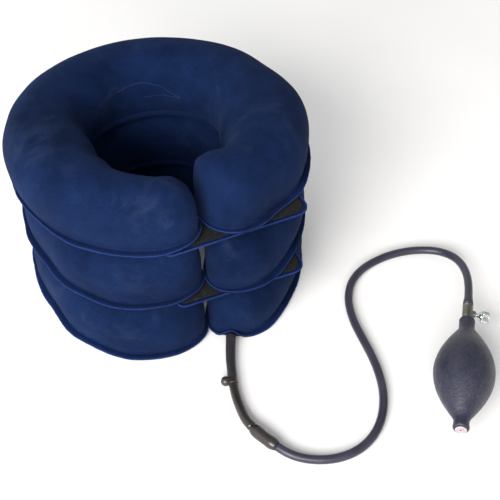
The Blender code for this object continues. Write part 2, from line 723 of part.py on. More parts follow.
shank = turned("release_thumbscrew", [
    (0.0, 12.6), (4.6, 12.6), (4.2, 11.2), (2.6, 9.6), (SCREW_R, 8.0),
    (SCREW_R, 5.9), (0.0, 5.9)], screw, CHROME, 20, closed=False)
bm = bmesh.new()
bmesh.ops.create_cone(bm, cap_ends=True, segments=2 * KNURLS,
                      radius1=HEAD_R * MM, radius2=HEAD_R * MM, depth=7.6 * MM,
                      matrix=Matrix.Translation((0, 0, 15.6 * MM)))
for v in bm.verts:
    k = round(math.atan2(v.co.y, v.co.x) / (math.pi / KNURLS))
    if k % 2:
        v.co.x *= 0.92
        v.co.y *= 0.92
mesh = bpy.data.meshes.new("thumbscrew_knurl")
bm.to_mesh(mesh)
bm.free()
knurl = add("thumbscrew_knurl", mesh, None, screw, cutter=True)
cut(shank, knurl, "UNION")
face = turned("thumbscrew_face", [
    (0.0, 20.2), (4.0, 20.2), (4.6, 19.6), (4.6, 19.0), (0.0, 19.0)],
    screw, None, 20, closed=False, cutter=True)
cut(shank, face, "UNION")

# outlet check valve in the stub: seat pressed in the end, ball behind it
turned("outlet_valve_seat", [
    (2.9, 12.0), (2.9, 9.3), (1.1, 9.3), (1.1, 12.0)], pump, PVC, 16)


def ball(name, radius, at, mat):
    bm = bmesh.new()
    bmesh.ops.create_uvsphere(bm, u_segments=16, v_segments=10, radius=radius * MM)
    mesh = bpy.data.meshes.new(name)
    bm.to_mesh(mesh)
    bm.free()
    ob = add(name, mesh, mat, Matrix.Translation(place(*(mouth + pump_axis * at))))
    smooth(ob)
    return ob


ball("outlet_check_ball", 2.0, 9.3 - 2.1, STEEL)

# ---------------------------------------------------------------- intake valve
turned("intake_valve_body", [
    (TAIL_R - 1.2, BULB_L + 1.4), (TAIL_R - 0.7, BULB_L + 0.3),
    (BORE_TAIL - 0.3, BULB_L + 0.3), (BORE_TAIL - 0.3, BULB_L - 12.5),
    (3.3, BULB_L - 12.5), (3.3, BULB_L - 10.5), (2.3, BULB_L - 10.5),
    (2.3, BULB_L - 3.0), (1.0, BULB_L - 2.6), (1.0, BULB_L + 1.4)],
    pump, PALE, 20)
ball("intake_check_ball", 1.8, BULB_L - 3.0 - 2.05, STEEL)
grid = turned("intake_ball_retainer", [
    (0.0, BULB_L - 10.8), (3.0, BULB_L - 10.8), (3.0, BULB_L - 12.2),
    (0.0, BULB_L - 12.2)], pump, PALE, 16, closed=False)
for i in range(3):
    a = 2.0 * math.pi * i / 3
    off = Matrix.Translation(Vector((1.6 * math.cos(a), 1.6 * math.sin(a), 0)) * MM)
    cut(grid, rod_cutter("retainer_hole_%d" % i, 0.7, BULB_L - 13.0,
                         BULB_L - 10.0, pump @ off, 10))
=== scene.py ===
import math
import random

import bmesh
import bpy
import numpy as np
from mathutils import Matrix, Vector, noise
from mathutils.bvhtree import BVHTree


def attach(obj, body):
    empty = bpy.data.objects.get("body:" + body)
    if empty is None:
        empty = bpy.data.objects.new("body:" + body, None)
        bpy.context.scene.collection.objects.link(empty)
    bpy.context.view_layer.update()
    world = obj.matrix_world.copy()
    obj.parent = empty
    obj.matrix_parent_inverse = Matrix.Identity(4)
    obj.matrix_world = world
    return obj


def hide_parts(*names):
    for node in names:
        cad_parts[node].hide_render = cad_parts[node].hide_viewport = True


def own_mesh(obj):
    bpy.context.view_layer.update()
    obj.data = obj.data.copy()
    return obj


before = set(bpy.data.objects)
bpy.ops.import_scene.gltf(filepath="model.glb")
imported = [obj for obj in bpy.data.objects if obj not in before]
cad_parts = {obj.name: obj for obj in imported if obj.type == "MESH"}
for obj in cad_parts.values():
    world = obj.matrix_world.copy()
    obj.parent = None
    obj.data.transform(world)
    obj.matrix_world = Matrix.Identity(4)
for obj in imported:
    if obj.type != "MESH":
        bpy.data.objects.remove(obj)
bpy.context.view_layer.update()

MM = 0.001
COLLAR = (-47.45, 93.4)            # centre of the neck opening in the frame, mm
PITCH = 62.0
RING_H = 61.4
LEVEL = {"bottom": 0.0, "middle": PITCH, "top": 2.0 * PITCH}
BODY = {"bottom": "collar_base", "middle": "middle_ring", "top": "top_ring"}


def P(x, y, z):
    """Collar coordinates in mm to the frame in metres."""
    return Vector((COLLAR[0] + x, COLLAR[1] + y, z)) * MM


# ------------------------------------------------------------------ camera
cam_data = bpy.data.cameras.new("camera")
cam = bpy.data.objects.new("camera", cam_data)
bpy.context.scene.collection.objects.link(cam)
cam_data.sensor_width = 36.0
cam_data.lens = 70.6
cam_data.clip_start, cam_data.clip_end = 0.01, 20.0
cam.location = (-0.2714, -0.5528, 0.688)
aim = Vector((0.0302, 0.0655, 0.0)) - Vector(cam.location)
cam.rotation_mode = "QUATERNION"
cam.rotation_quaternion = aim.to_track_quat("-Z", "Y")
bpy.context.scene.camera = cam


# ------------------------------------------------------------------ helpers
def link(name, mesh, mats=()):
    ob = bpy.data.objects.new(name, mesh)
    bpy.context.scene.collection.objects.link(ob)
    for m in mats:
        mesh.materials.append(m)
    return ob


def from_grid(name, G, mats, wrap_i=False, wrap_j=False, flip=False, caps=False):
    """Smooth quad mesh from an (n, m, 3) array of points in metres."""
    n, m = G.shape[:2]
    bm = bmesh.new()
    vs = [[bm.verts.new(G[i, j]) for j in range(m)] for i in range(n)]
    for i in range(n if wrap_i else n - 1):
        for j in range(m if wrap_j else m - 1):
            a, b = vs[i][j], vs[(i + 1) % n][j]
            c, d = vs[(i + 1) % n][(j + 1) % m], vs[i][(j + 1) % m]
            bm.faces.new((a, d, c, b) if flip else (a, b, c, d))
    if caps:
        for row, rev in ((vs[0], flip), (vs[-1], not flip)):
            bm.faces.new(row[::-1] if not rev else row)
    bmesh.ops.recalc_face_normals(bm, faces=bm.faces)
    for f in bm.faces:
        f.smooth = True
    mesh = bpy.data.meshes.new(name)
    bm.to_mesh(mesh)
    bm.free()
    return link(name, mesh, mats)


def lathe(name, profile, matrix, mats, segments=72, closed=True, displace=None):
    """Turn a closed (radius, height) mm profile about the matrix's +Z."""
    prof = np.array(profile, float)
    ang = np.linspace(0.0, 2.0 * math.pi, segments, endpoint=False)
    G = np.zeros((segments, len(prof), 3))
    for i, a in enumerate(ang):
        r = prof[:, 0].copy()
        if displace is not None:
            r = r + displace(a, prof)
        G[i, :, 0] = r * math.cos(a)
        G[i, :, 1] = r * math.sin(a)
        G[i, :, 2] = prof[:, 1]
    M = np.array(matrix)
    G = (G * MM) @ M[:3, :3].T + M[:3, 3]
    ob = from_grid(name, G, mats, wrap_i=True, wrap_j=closed)
    return ob


def sharp(ob, degrees=38.0):
    ob.data.set_sharp_from_angle(angle=math.radians(degrees))


def rounded(points, radius=0.4, steps=4):
    """Round the corners of a closed (r, z) profile."""
    pts = [Vector(p) for p in points]
    n = len(pts)
    out = []
    for i in range(n):
        a, b, c = pts[i - 1], pts[i], pts[(i + 1) % n]
        u, v = (a - b), (c - b)
        lim = min(u.length, v.length) * 0.45
        rr = min(radius, lim)
        if rr < 0.02 or u.length < 1e-6 or v.length < 1e-6:
            out.append((b.x, b.y))
            continue
        p0, p1 = b + u.normalized() * rr, b + v.normalized() * rr
        for k in range(steps + 1):
            t = k / steps
            q = p0.lerp(b, t).lerp(b.lerp(p1, t), t)
            out.append((max(q.x, 0.0), q.y))
    return out


def frame_of(origin, z_axis, x_hint):
    z = Vector(z_axis).normalized()
    x = Vector(x_hint)
    x = (x - z * x.dot(z)).normalized()
    y = z.cross(x)
    m = Matrix((x, y, z)).transposed().to_4x4()
    m.translation = origin
    return m


# ------------------------------------------------------------------ materials
class Nodes:
    def __init__(self, name):
        self.mat = bpy.data.materials.new(name)
        self.mat.use_nodes = True
        self.t = self.mat.node_tree
        self.b = self.t.nodes["Principled BSDF"]
        self.co = self.t.nodes.new("ShaderNodeTexCoord").outputs["Object"]

    def new(self, kind, **kw):
        n = self.t.nodes.new(kind)
        for k, v in kw.items():
            setattr(n, k, v)
        return n

    def wire(self, a, b):
        self.t.links.new(a, b)

    def noise(self, scale, detail=3.0, rough=0.55, stretch=None, distortion=0.0):
        n = self.new("ShaderNodeTexNoise")
        n.inputs["Scale"].default_value = scale
        n.inputs["Detail"].default_value = detail
        n.inputs["Roughness"].default_value = rough
        n.inputs["Distortion"].default_value = distortion
        src = self.co
        if stretch:
            m = self.new("ShaderNodeMapping")
            m.inputs["Scale"].default_value = stretch
            self.wire(src, m.inputs["Vector"])
            src = m.outputs["Vector"]
        self.wire(src, n.inputs["Vector"])
        return n.outputs["Fac"]

    def ramp(self, fac, stops):
        r = self.new("ShaderNodeValToRGB")
        e = r.color_ramp.elements
        while len(e) < len(stops):
            e.new(0.5)
        for el, (pos, col) in zip(e, stops):
            el.position = pos
            el.color = (*col, 1.0) if len(col) == 3 else col
        self.wire(fac, r.inputs["Fac"])
        return r.outputs["Color"]

    def mix(self, fac, a, b, mode="MIX"):
        m = self.new("ShaderNodeMix", data_type="RGBA", blend_type=mode)
        for val, sock in ((fac, m.inputs[0]), (a, m.inputs[6]), (b, m.inputs[7])):
            if hasattr(val, "is_output"):
                self.wire(val, sock)
            elif isinstance(val, (int, float)):
                sock.default_value = val
            else:
                sock.default_value = (*val, 1.0)
        return m.outputs[2]

    def math(self, op, a, b=0.0, clamp=False):
        m = self.new("ShaderNodeMath", operation=op, use_clamp=clamp)
        for val, sock in ((a, m.inputs[0]), (b, m.inputs[1])):
            if hasattr(val, "is_output"):
                self.wire(val, sock)
            else:
                sock.default_value = val
        return m.outputs[0]

    def bump(self, height, distance, strength=1.0, base=None):
        n = self.new("ShaderNodeBump")
        n.inputs["Distance"].default_value = distance
        n.inputs["Strength"].default_value = strength
        self.wire(height, n.inputs["Height"])
        if base is not None:
            self.wire(base, n.inputs["Normal"])
        return n.outputs["Normal"]

    def set(self, **kw):
        for k, v in kw.items():
            sock = self.b.inputs[k.replace("_", " ")]
            if hasattr(v, "is_output"):
                self.wire(v, sock)
            else:
                sock.default_value = v
        return self


def velour(name, dark, light, pale, sheen=0.45, pile=1.0):
    """Short navy pile: nap that lies two ways, speckle of the pile, soft sheen."""
    n = Nodes(name)
    nap = n.noise(11.0, 2.5, 0.5, distortion=0.6)
    mott = n.noise(70.0, 3.0, 0.6)
    fine = n.noise(950.0, 2.0, 0.7)
    dots = n.noise(2600.0, 1.0, 0.6)
    f = n.math("ADD", n.math("MULTIPLY", nap, 0.75), n.math("MULTIPLY", mott, 0.35))
    base = n.ramp(f, [(0.36, dark), (0.66, light)])
    patch = n.noise(17.0, 4.0, 0.65, distortion=1.2)
    mask = n.ramp(patch, [(0.55, (0, 0, 0)), (0.76, (1, 1, 1))])
    base = n.mix(n.math("MULTIPLY", mask, 0.38), base, pale)
    spec = n.ramp(fine, [(0.30, (0.55, 0.55, 0.55)), (0.72, (1.45, 1.45, 1.5))])
    base = n.mix(0.55, base, n.mix(1.0, base, spec, "MULTIPLY"))
    n.set(Base_Color=base, Roughness=0.88, Sheen_Weight=sheen, Sheen_Roughness=0.42,
          Sheen_Tint=(0.30, 0.46, 0.95, 1.0), Specular_IOR_Level=0.04)
    b1 = n.bump(fine, 0.0005 * pile, 0.8)
    b2 = n.bump(dots, 0.00022 * pile, 0.8, b1)
    b3 = n.bump(mott, 0.0007, 0.35, b2)
    n.wire(b3, n.b.inputs["Normal"])
    return n.mat


def thread(name, colour):
    n = Nodes(name)
    tw = n.noise(1800.0, 2.0, 0.6)
    c = n.ramp(tw, [(0.35, tuple(x * 0.55 for x in colour)), (0.7, colour)])
    n.set(Base_Color=c, Roughness=0.8, Sheen_Weight=0.05, Sheen_Roughness=0.4,
          Specular_IOR_Level=0.06)
    n.wire(n.bump(tw, 0.0002, 0.7), n.b.inputs["Normal"])
    return n.mat


def loop_pile(name, dark, light, fleck):
    n = Nodes(name)
    curl = n.noise(700.0, 5.0, 0.75, distortion=2.0)
    big = n.noise(120.0, 3.0, 0.6)
    c = n.ramp(curl, [(0.35, dark), (0.62, light)])
    fl = n.noise(420.0, 2.0, 0.5, distortion=1.0)
    c = n.mix(n.ramp(fl, [(0.60, (0, 0, 0)), (0.70, (0.8, 0.8, 0.8))]), c, fleck)
    c = n.mix(0.4, c, n.mix(1.0, c, n.ramp(big, [(0.3, (0.5, 0.5, 0.5)),
                                                 (0.7, (1.3, 1.3, 1.3))]), "MULTIPLY"))
    n.set(Base_Color=c, Roughness=0.95, Sheen_Weight=0.05, Sheen_Roughness=0.6,
          Specular_IOR_Level=0.05)
    n.wire(n.bump(curl, 0.0012, 1.0), n.b.inputs["Normal"])
    return n.mat


def rubber(name, dark, light, rough=(0.30, 0.48), bump=0.00012, coat=0.0,
           spec=0.5, dust=0.0, grain=900.0, speckle=0.0):
    n = Nodes(name)
    cloud = n.noise(38.0, 4.0, 0.6, distortion=0.4)
    fine = n.noise(grain, 3.0, 0.65)
    c = n.ramp(cloud, [(0.34, dark), (0.68, light)])
    if dust:
        d = n.noise(150.0, 5.0, 0.7)
        c = n.mix(n.math("MULTIPLY", n.ramp(d, [(0.55, (0, 0, 0)), (0.8, (1, 1, 1))]),
                         dust), c, (0.32, 0.30, 0.33))
    if speckle:
        dot = n.ramp(fine, [(0.36, (0.35, 0.35, 0.38)), (0.64, (1.75, 1.65, 1.6))])
        c = n.mix(speckle, c, n.mix(1.0, c, dot, "MULTIPLY"))
    r = n.ramp(n.noise(85.0, 3.0, 0.6), [(0.3, (rough[0],) * 3), (0.7, (rough[1],) * 3)])
    n.set(Base_Color=c, Roughness=r, Specular_IOR_Level=spec, Coat_Weight=coat,
          Coat_Roughness=0.12)
    n.wire(n.bump(fine, bump, 0.8), n.b.inputs["Normal"])
    return n.mat


def metal(name, dark, light, rough, stretch=(1.0, 1.0, 1.0), line=900.0, tint=None):
    n = Nodes(name)
    brush = n.noise(line, 2.0, 0.6, stretch=stretch)
    cloud = n.noise(180.0, 3.0, 0.6)
    c = n.ramp(cloud, [(0.32, dark), (0.68, light)])
    if tint is not None:
        c = n.mix(n.ramp(n.noise(260.0, 3.0, 0.7), [(0.55, (0, 0, 0)),
                                                    (0.75, (0.6, 0.6, 0.6))]), c, tint)
    r = n.ramp(brush, [(0.3, (rough[0],) * 3), (0.7, (rough[1],) * 3)])
    n.set(Base_Color=c, Roughness=r, Metallic=1.0)
    n.wire(n.bump(brush, 0.00006, 0.6), n.b.inputs["Normal"])
    return n.mat


NAVY = velour("velour_navy", (0.0019, 0.0063, 0.0245), (0.0050, 0.0142, 0.053),
              (0.025, 0.040, 0.084), sheen=0.05)
NAVY_HEM = velour("velour_hem", (0.0026, 0.0080, 0.034), (0.0062, 0.0170, 0.070),
                  (0.02, 0.038, 0.10), sheen=0.06)
# darker velour for the underside panels, also used as painted shade on the hem rims inside the neck hole
NAVY_UNDER_AND_SHADE = velour("velour_underside_and_painted_shade", (0.0022, 0.006, 0.024), (0.0045, 0.012, 0.046),
                    (0.015, 0.025, 0.06), sheen=0.04)
# lighter velour for hem rims, strap bindings and the fold line: a painted highlight along edges
EDGE_HIGHLIGHT = velour("velour_edge_painted_highlight", (0.0070, 0.0170, 0.080), (0.016, 0.034, 0.145),
              (0.05, 0.08, 0.22), sheen=0.10)
THREAD = thread("navy_thread", (0.0045, 0.0085, 0.030))
THREAD_PALE = thread("pale_thread", (0.055, 0.080, 0.16))
LOOP = loop_pile("loop_pile", (0.004, 0.004, 0.005), (0.014, 0.015, 0.017),
                 (0.040, 0.042, 0.036))
HOOK = loop_pile("hook_tape", (0.006, 0.006, 0.007), (0.02, 0.02, 0.022),
                 (0.05, 0.05, 0.05))
TUBE_DARK = rubber("tube_dark", (0.015, 0.014, 0.017), (0.027, 0.025, 0.030),
                   (0.46, 0.62), spec=0.35, dust=0.08)
TUBE_GLOSS = rubber("tube_gloss", (0.016, 0.012, 0.012), (0.030, 0.024, 0.023),
                    (0.20, 0.36), bump=0.00008, coat=0.25, spec=0.4)
HOSE_BLUE = rubber("hose_blue", (0.019, 0.019, 0.034), (0.032, 0.031, 0.052),
                   (0.30, 0.46), coat=0.06, spec=0.38)
BULB = rubber("bulb_rubber", (0.013, 0.016, 0.033), (0.028, 0.027, 0.048),
              (0.38, 0.50), bump=0.00060, coat=0.03, spec=0.42, dust=0.10, grain=620.0, speckle=0.5)
BRASS = metal("plated_brass", (0.13, 0.13, 0.11), (0.24, 0.235, 0.21), (0.26, 0.42),
              tint=(0.11, 0.14, 0.11))
CHROME = metal("chrome", (0.60, 0.63, 0.62), (0.82, 0.85, 0.84), (0.10, 0.24))
STEEL = metal("steel", (0.45, 0.46, 0.47), (0.65, 0.66, 0.67), (0.16, 0.30))
PALE = rubber("pale_plastic", (0.28, 0.22, 0.25), (0.46, 0.39, 0.42), (0.35, 0.5),
              spec=0.5)
FITTING = rubber("soft_fitting", (0.48, 0.50, 0.52), (0.66, 0.68, 0.70), (0.35, 0.5))
FILM = rubber("bladder_film", (0.40, 0.42, 0.46), (0.58, 0.60, 0.64), (0.25, 0.4),
              coat=0.2)

# ------------------------------------------------------------------ air line
TUBE_ROUTE = ((11.8, -123.7, 6.6), (8.3, -130.7, 5.0), (4.1, -138.5, 4.5),
              (-2.2, -153.3, 4.3), (-8.0, -169.2, 4.2), (-12.9, -185.8, 4.2),
              (-15.4, -203.5, 4.4), (-16.5, -216.2, 5.5), (-14.4, -221.8, 5.5))
SLEEVE_ROUTE = ((-14.4, -221.8, 5.5), (-4.9, -246.7, 5.5))
HOSE_ROUTE = ((-4.9, -246.7, 5.5), (-2.8, -252.3, 5.5), (3.0, -260.2, 4.4),
              (11.6, -267.4, 3.85), (22.7, -274.0, 3.85), (36.0, -278.4, 3.85),
              (51.9, -279.1, 3.85), (68.4, -274.5, 3.85), (85.8, -262.2, 3.85),
              (98.9, -245.4, 3.85), (106.6, -230.1, 3.85), (112.2, -212.2, 3.85),
              (115.8, -193.9, 3.85), (118.2, -174.2, 3.85), (121.9, -153.0, 3.85),
              (129.0, -133.0, 3.85), (137.3, -120.1, 3.85), (147.8, -109.8, 3.85),
              (163.0, -102.1, 3.85), (184.8, -98.0, 3.85), (207.3, -99.1, 3.9),
              (227.1, -105.9, 4.6), (241.8, -118.2, 7.0), (246.8, -135.9, 11.4),
              (241.7, -156.8, 17.2), (230.0, -177.7, 22.6))
PUMP_MOUTH = Vector((201.5, -215.4, 26.3))
PUMP_END = Vector((128.6, -311.1, 26.3))
TUBE_R, HOSE_R = 4.1, 3.75
VALVE_L = 17.4
pump_axis = (PUMP_END - PUMP_MOUTH).normalized()
hose_stop = PUMP_MOUTH - pump_axis * (VALVE_L + 0.3)


def spline(points, step):
    """Even points on a centripetal Catmull-Rom curve through the route."""
    pts = [Vector(p) for p in points]
    pts = [pts[0] * 2 - pts[1]] + pts + [pts[-1] * 2 - pts[-2]]
    dense = []
    for p0, p1, p2, p3 in zip(pts, pts[1:], pts[2:], pts[3:]):
        t0 = 0.0
        t1 = t0 + math.sqrt((p1 - p0).length)
        t2 = t1 + math.sqrt((p2 - p1).length)
        t3 = t2 + math.sqrt((p3 - p2).length)
        for i in range(24):
            t = t1 + (t2 - t1) * i / 24
            a1 = p0 * ((t1 - t) / (t1 - t0)) + p1 * ((t - t0) / (t1 - t0))
            a2 = p1 * ((t2 - t) / (t2 - t1)) + p2 * ((t - t1) / (t2 - t1))
            a3 = p2 * ((t3 - t) / (t3 - t2)) + p3 * ((t - t2) / (t3 - t2))
            b1 = a1 * ((t2 - t) / (t2 - t0)) + a2 * ((t - t0) / (t2 - t0))
            b2 = a2 * ((t3 - t) / (t3 - t1)) + a3 * ((t - t1) / (t3 - t1))
            dense.append(b1 * ((t2 - t) / (t2 - t1)) + b2 * ((t - t1) / (t2 - t1)))
    dense.append(pts[-2])
    s = [0.0]
    for a, b in zip(dense, dense[1:]):
        s.append(s[-1] + (b - a).length)
    n = max(2, round(s[-1] / step))
    out, k = [], 0
    for i in range(n + 1):
        target = s[-1] * i / n
        while k < len(s) - 2 and s[k + 1] < target:
            k += 1
        f = (target - s[k]) / (s[k + 1] - s[k])
        out.append(dense[k].lerp(dense[k + 1], f))
    return out


def relax(points, rounds=6):
    """Even out small kinks, ends held."""
    pts = [p.copy() for p in points]
    for _ in range(rounds):
        new = [p.copy() for p in pts]
        for i in range(1, len(pts) - 1):
            new[i] = pts[i] * 0.5 + (pts[i - 1] + pts[i + 1]) * 0.25
        pts = new
    return pts


def tube_mesh(name, points, radius, mats, sides=28, radii=None, cap=True):
    """Closed tube along points (mm, collar frame), radius per point."""
    pts = [Vector(p) for p in points]
    n = len(pts)
    up = Vector((0, 0, 1))
    G = np.zeros((n, sides, 3))
    for i in range(n):
        d = (pts[min(i + 1, n - 1)] - pts[max(i - 1, 0)]).normalized()
        x = up.cross(d)
        x.normalize()
        y = d.cross(x)
        r = radius if radii is None else radii[i]
        for j in range(sides):
            a = 2 * math.pi * j / sides
            G[i, j] = P(*(pts[i] + x * (r * math.cos(a)) + y * (r * math.sin(a))))
    return from_grid(name, G, mats, wrap_j=True, caps=cap)


def length_of(points):
    return sum((b - a).length for a, b in zip(points, points[1:])) * MM


tube_pts = relax(spline(TUBE_ROUTE, 3.0), 10)
hose_pts = relax(spline(HOSE_ROUTE + (tuple(hose_stop - pump_axis * 6.0),
                                      tuple(hose_stop)), 3.0), 10)
path_m = [tuple(P(*p)) for p in tube_pts]
tube_radii = [TUBE_R + 0.5 * max(0.0, 1.0 - length_of(tube_pts[:i + 1]) / 0.034) ** 0.8
              if i else TUBE_R + 0.5 for i in range(len(tube_pts))]
tube = tube_mesh("collar_tube", tube_pts, TUBE_R, [TUBE_GLOSS, TUBE_DARK], radii=tube_radii)
NUB_AT = min(range(len(tube_pts)), key=lambda i: abs(
    length_of(tube_pts[:i + 1]) - 0.0497) if i else 9)
for poly in tube.data.polygons:        # the first length is the matt tube
    c = poly.center
    near = min(range(len(tube_pts)), key=lambda i: (P(*tube_pts[i]) - c).length)
    if near < NUB_AT:
        poly.material_index = 1
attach(tube, "collar_base")
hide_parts("ring_outlet_tube", "collar_hose")

# pump hose, swollen where it is pushed over the valve's barb
n = len(hose_pts)
along = [0.0]
for a, b in zip(hose_pts, hose_pts[1:]):
    along.append(along[-1] + (b - a).length)
radii = []
for s in along:
    t = max(0.0, 1.0 - (along[-1] - s) / 11.0)
    radii.append(HOSE_R + 1.0 * (t * t * (3 - 2 * t)) ** 0.8)
hose = tube_mesh("pump_hose_line", hose_pts, HOSE_R, [HOSE_BLUE], radii=radii)
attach(hose, "collar_base")
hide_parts("pump_hose")

# thick joint sleeve, bent a little with the line
s0, s1 = Vector(SLEEVE_ROUTE[0]), Vector(SLEEVE_ROUTE[1])
d0 = (tube_pts[-1] - tube_pts[-3]).normalized()
d1 = (hose_pts[2] - hose_pts[0]).normalized()
sl, sr = [], []
L = (s1 - s0).length
for i in range(37):
    t = i / 36
    h = [2*t**3-3*t**2+1, t**3-2*t**2+t, -2*t**3+3*t**2, t**3-t**2]
    p = s0 * h[0] + d0 * L * h[1] + s1 * h[2] + d1 * L * h[3]
    sl.append(p)
    e = min(t, 1 - t) * L
    k = min(1.0, e / 5.5)
    sr.append(4.25 + 1.1 * (math.sin(k * math.pi / 2)) + 0.12 * math.sin(t * 9.0))
sleeve = tube_mesh("rubber_joint_sleeve", sl, 5.3, [TUBE_GLOSS], radii=sr, cap=True)
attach(sleeve, "collar_base")
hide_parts("joint_sleeve", "hose_joiner")

# ball-ended nub and the collar that it is moulded on
nub_c = tube_pts[NUB_AT]
nub_dir = (tube_pts[NUB_AT + 1] - tube_pts[NUB_AT - 1]).normalized()
side = Vector((nub_dir.y, -nub_dir.x, 0.0)).normalized()
if side.x > 0.0:
    side = -side
ball_prof = [(2.9, 1.0), (3.0, 2.4), (3.3, 3.4)]
for i in range(15):
    a = math.radians(-38 + 128 * i / 14)
    ball_prof.append((4.45 * math.cos(a), 6.3 + 4.3 * math.sin(a)))
ball_prof[-1] = (0.02, ball_prof[-1][1])
ball_prof += [(0.02, 1.0)]
nub = lathe("ball_nub", ball_prof, frame_of(P(*(nub_c + Vector((0, 0, 0.5)))), side,
                                            (0, 0, 1)), [TUBE_GLOSS], 40)
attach(nub, "collar_base")
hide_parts("hose_side_nub")
cuff = lathe("tube_end_cuff", rounded([(4.35, 3.6), (4.35, -1.2), (3.3, -1.2), (3.3, 3.6)],
                                      0.5), frame_of(P(*(nub_c + nub_dir * 0.6 + Vector((0, 0, 0.30)))), nub_dir, (0, 0, 1)),
             [TUBE_GLOSS], 40)
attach(cuff, "collar_base")

# ------------------------------------------------------------------ air rings
BASE_F, WIDEST, ROUND = 0.86, 0.42, 0.85
EGG, LEAN, SLOT, FRONT_DROP = -0.10, 0.05, 5.0, 4.6
HEM_OUT, HEM_END, HEM_IN = 6.0, 1.8, 3.0
PANEL_T, COVER_T, FABRIC_GAP = 1.2, 1.2, 0.35
RINGS = {
    # name: (half length X, half length Y, half width, left taper, right taper)
    "bottom": (95.0, 95.5, 35.0, 58.0, 42.0),
    "middle": (95.0, 95.0, 35.0, 72.0, 42.0),
    "top": (94.0, 93.0, 35.0, 66.0, 30.0),
}
# Hand-sewn unevenness: angle from the slot in degrees, how far the tube of the
# ring stands out there, and how much wider it is on each side, in mm.
UNEVEN = {
    "bottom": ((0, -1, 0), (20, 1, 0), (40, 4, 1), (62, 1, 0), (85, -4.5, -4),
               (105, -4.5, -4), (130, 0, 0), (225, -1, -1), (250, 0, 0),
               (290, 2, 1), (320, 2, 1), (345, 5, 1), (360, 6, 0)),
    "middle": ((0, -3, 0), (20, -1, 0), (40, 1, 0.5), (62, -1, -1), (85, -5, -4.5),
               (105, -4.5, -4), (130, 0, 0), (225, -1, -1), (250, 0, 0),
               (290, 2, 2), (320, 3, 2), (345, 5, 2), (360, 7, 0)),
    "top": ((0, 0, 1), (12, 5, -5.5), (25, 10, -11.5), (42, 10, -11), (62, 5.5, -5),
            (85, 0, 0), (130, 0, 0), (180, 0, 0), (225, -3, -3), (250, -2, -2),
            (290, 4, 4), (310, 7, 0), (330, 5, -8), (346, -1, -3), (355, -7, 2),
            (360, -8, 3)),
}
TOP_HEM_SIDE = 2.0          # the top ring's hem is trimmed narrow at its left
STATIONS, ARC, LOW = 150, 35, 5


def front_weight(t):
    c = min(1.0, max(0.0, math.cos(t) - 0.1) / 0.6)
    return c * c * (3.0 - 2.0 * c)


def taper(d, length, power):
    u = min(1.0, max(0.0, 1.0 - d / length))
    return (1.0 - u ** power) ** (1.0 / power)


def uneven(name, theta):
    d = math.degrees(theta)
    knots = UNEVEN[name]
    for (a, s0, w0), (b, s1, w1) in zip(knots, knots[1:]):
        if d <= b:
            f = (d - a) / (b - a)
            f = f * f * (3.0 - 2.0 * f)
            return s0 + (s1 - s0) * f, w0 + (w1 - w0) * f
    return knots[-1][1], knots[-1][2]


def ring_path(name, stations=STATIONS):
    rx, ry, half_w, left, right = RINGS[name]
    n = 3600
    t = np.linspace(0.0, 2.0 * math.pi, n + 1)
    x = -rx * np.sin(t) * (1.0 + EGG * np.cos(t))
    y = -ry * np.cos(t) * (1.0 - LEAN * np.sin(t) * np.maximum(0.0, np.cos(t)))
    s = np.concatenate([[0.0], np.cumsum(np.hypot(np.diff(x), np.diff(y)))])
    total = s[-1]
    gap = SLOT if name == "top" else 2.4
    start, end = gap / 2.0, total - gap / 2.0
    out = []
    for i in range(stations):
        u = i / (stations - 1)
        q = 0.45 * (0.5 - 0.5 * math.cos(math.pi * u)) + 0.55 * u
        target = start + 0.25 + q * (end - start - 0.5)
        px, py = np.interp(target, s, x), np.interp(target, s, y)
        tt = np.interp(target, s, t)
        dx = np.interp(target + 0.3, s, x) - np.interp(target - 0.3, s, x)
        dy = np.interp(target + 0.3, s, y) - np.interp(target - 0.3, s, y)
        ln = math.hypot(dx, dy)
        nx, ny = -dy / ln, dx / ln
        if nx * px + ny * py < 0.0:
            nx, ny = -nx, -ny
        near = min(target - start, end - target)
        length = left if target < total / 2.0 else right
        w = half_w * (1.0 + 0.06 * math.sin(tt) ** 2
                      - 0.10 * max(0.0, -math.cos(tt)) ** 2)
        shift, widen = uneven(name, tt)
        px, py = px + nx * shift, py + ny * shift
        w += widen
        drop = FRONT_DROP * front_weight(tt) if name != "top" else 0.0
        blunt = 3.0 if name == "top" else 4.6
        out.append(dict(c=(px, py), n=(nx, ny), w=w * taper(near, length, 2.1), name=name,
                        h=RING_H - drop, k=taper(near, length * 0.75, blunt),
                        t=tt, near=near, s=target, total=total))
    return out


def section(arc, low):
    side = []
    a0 = math.acos(BASE_F)
    for i in range(low):
        a = a0 * (1.0 - i / low)
        side.append((math.cos(a), WIDEST * (1.0 - math.sin(a) / math.sin(a0))))
    pts = list(side)
    for i in range(arc):
        a = math.pi * i / (arc - 1)
        c, s = math.cos(a), math.sin(a)
        pts.append((math.copysign(abs(c) ** ROUND, c),
                    WIDEST + (1.0 - WIDEST) * abs(s) ** ROUND))
    pts += [(-x, z) for x, z in reversed(side)]
    return pts


def even(points, count):
    """The open profile respaced to even steps."""
    p = np.array(points)
    s = np.concatenate([[0.0], np.cumsum(np.hypot(*np.diff(p, axis=0).T))])
    q = np.linspace(0.0, s[-1], count)
    return np.stack([np.interp(q, s, p[:, 0]), np.interp(q, s, p[:, 1])], 1)


PROFILE = even(section(121, 30), 46)
BASE_Z = PANEL_T + FABRIC_GAP


def low_noise(p, scale, seed):
    v = Vector((p[0] * scale + seed * 7.3, p[1] * scale - seed * 3.1, p[2] * scale))
    return noise.noise(v)


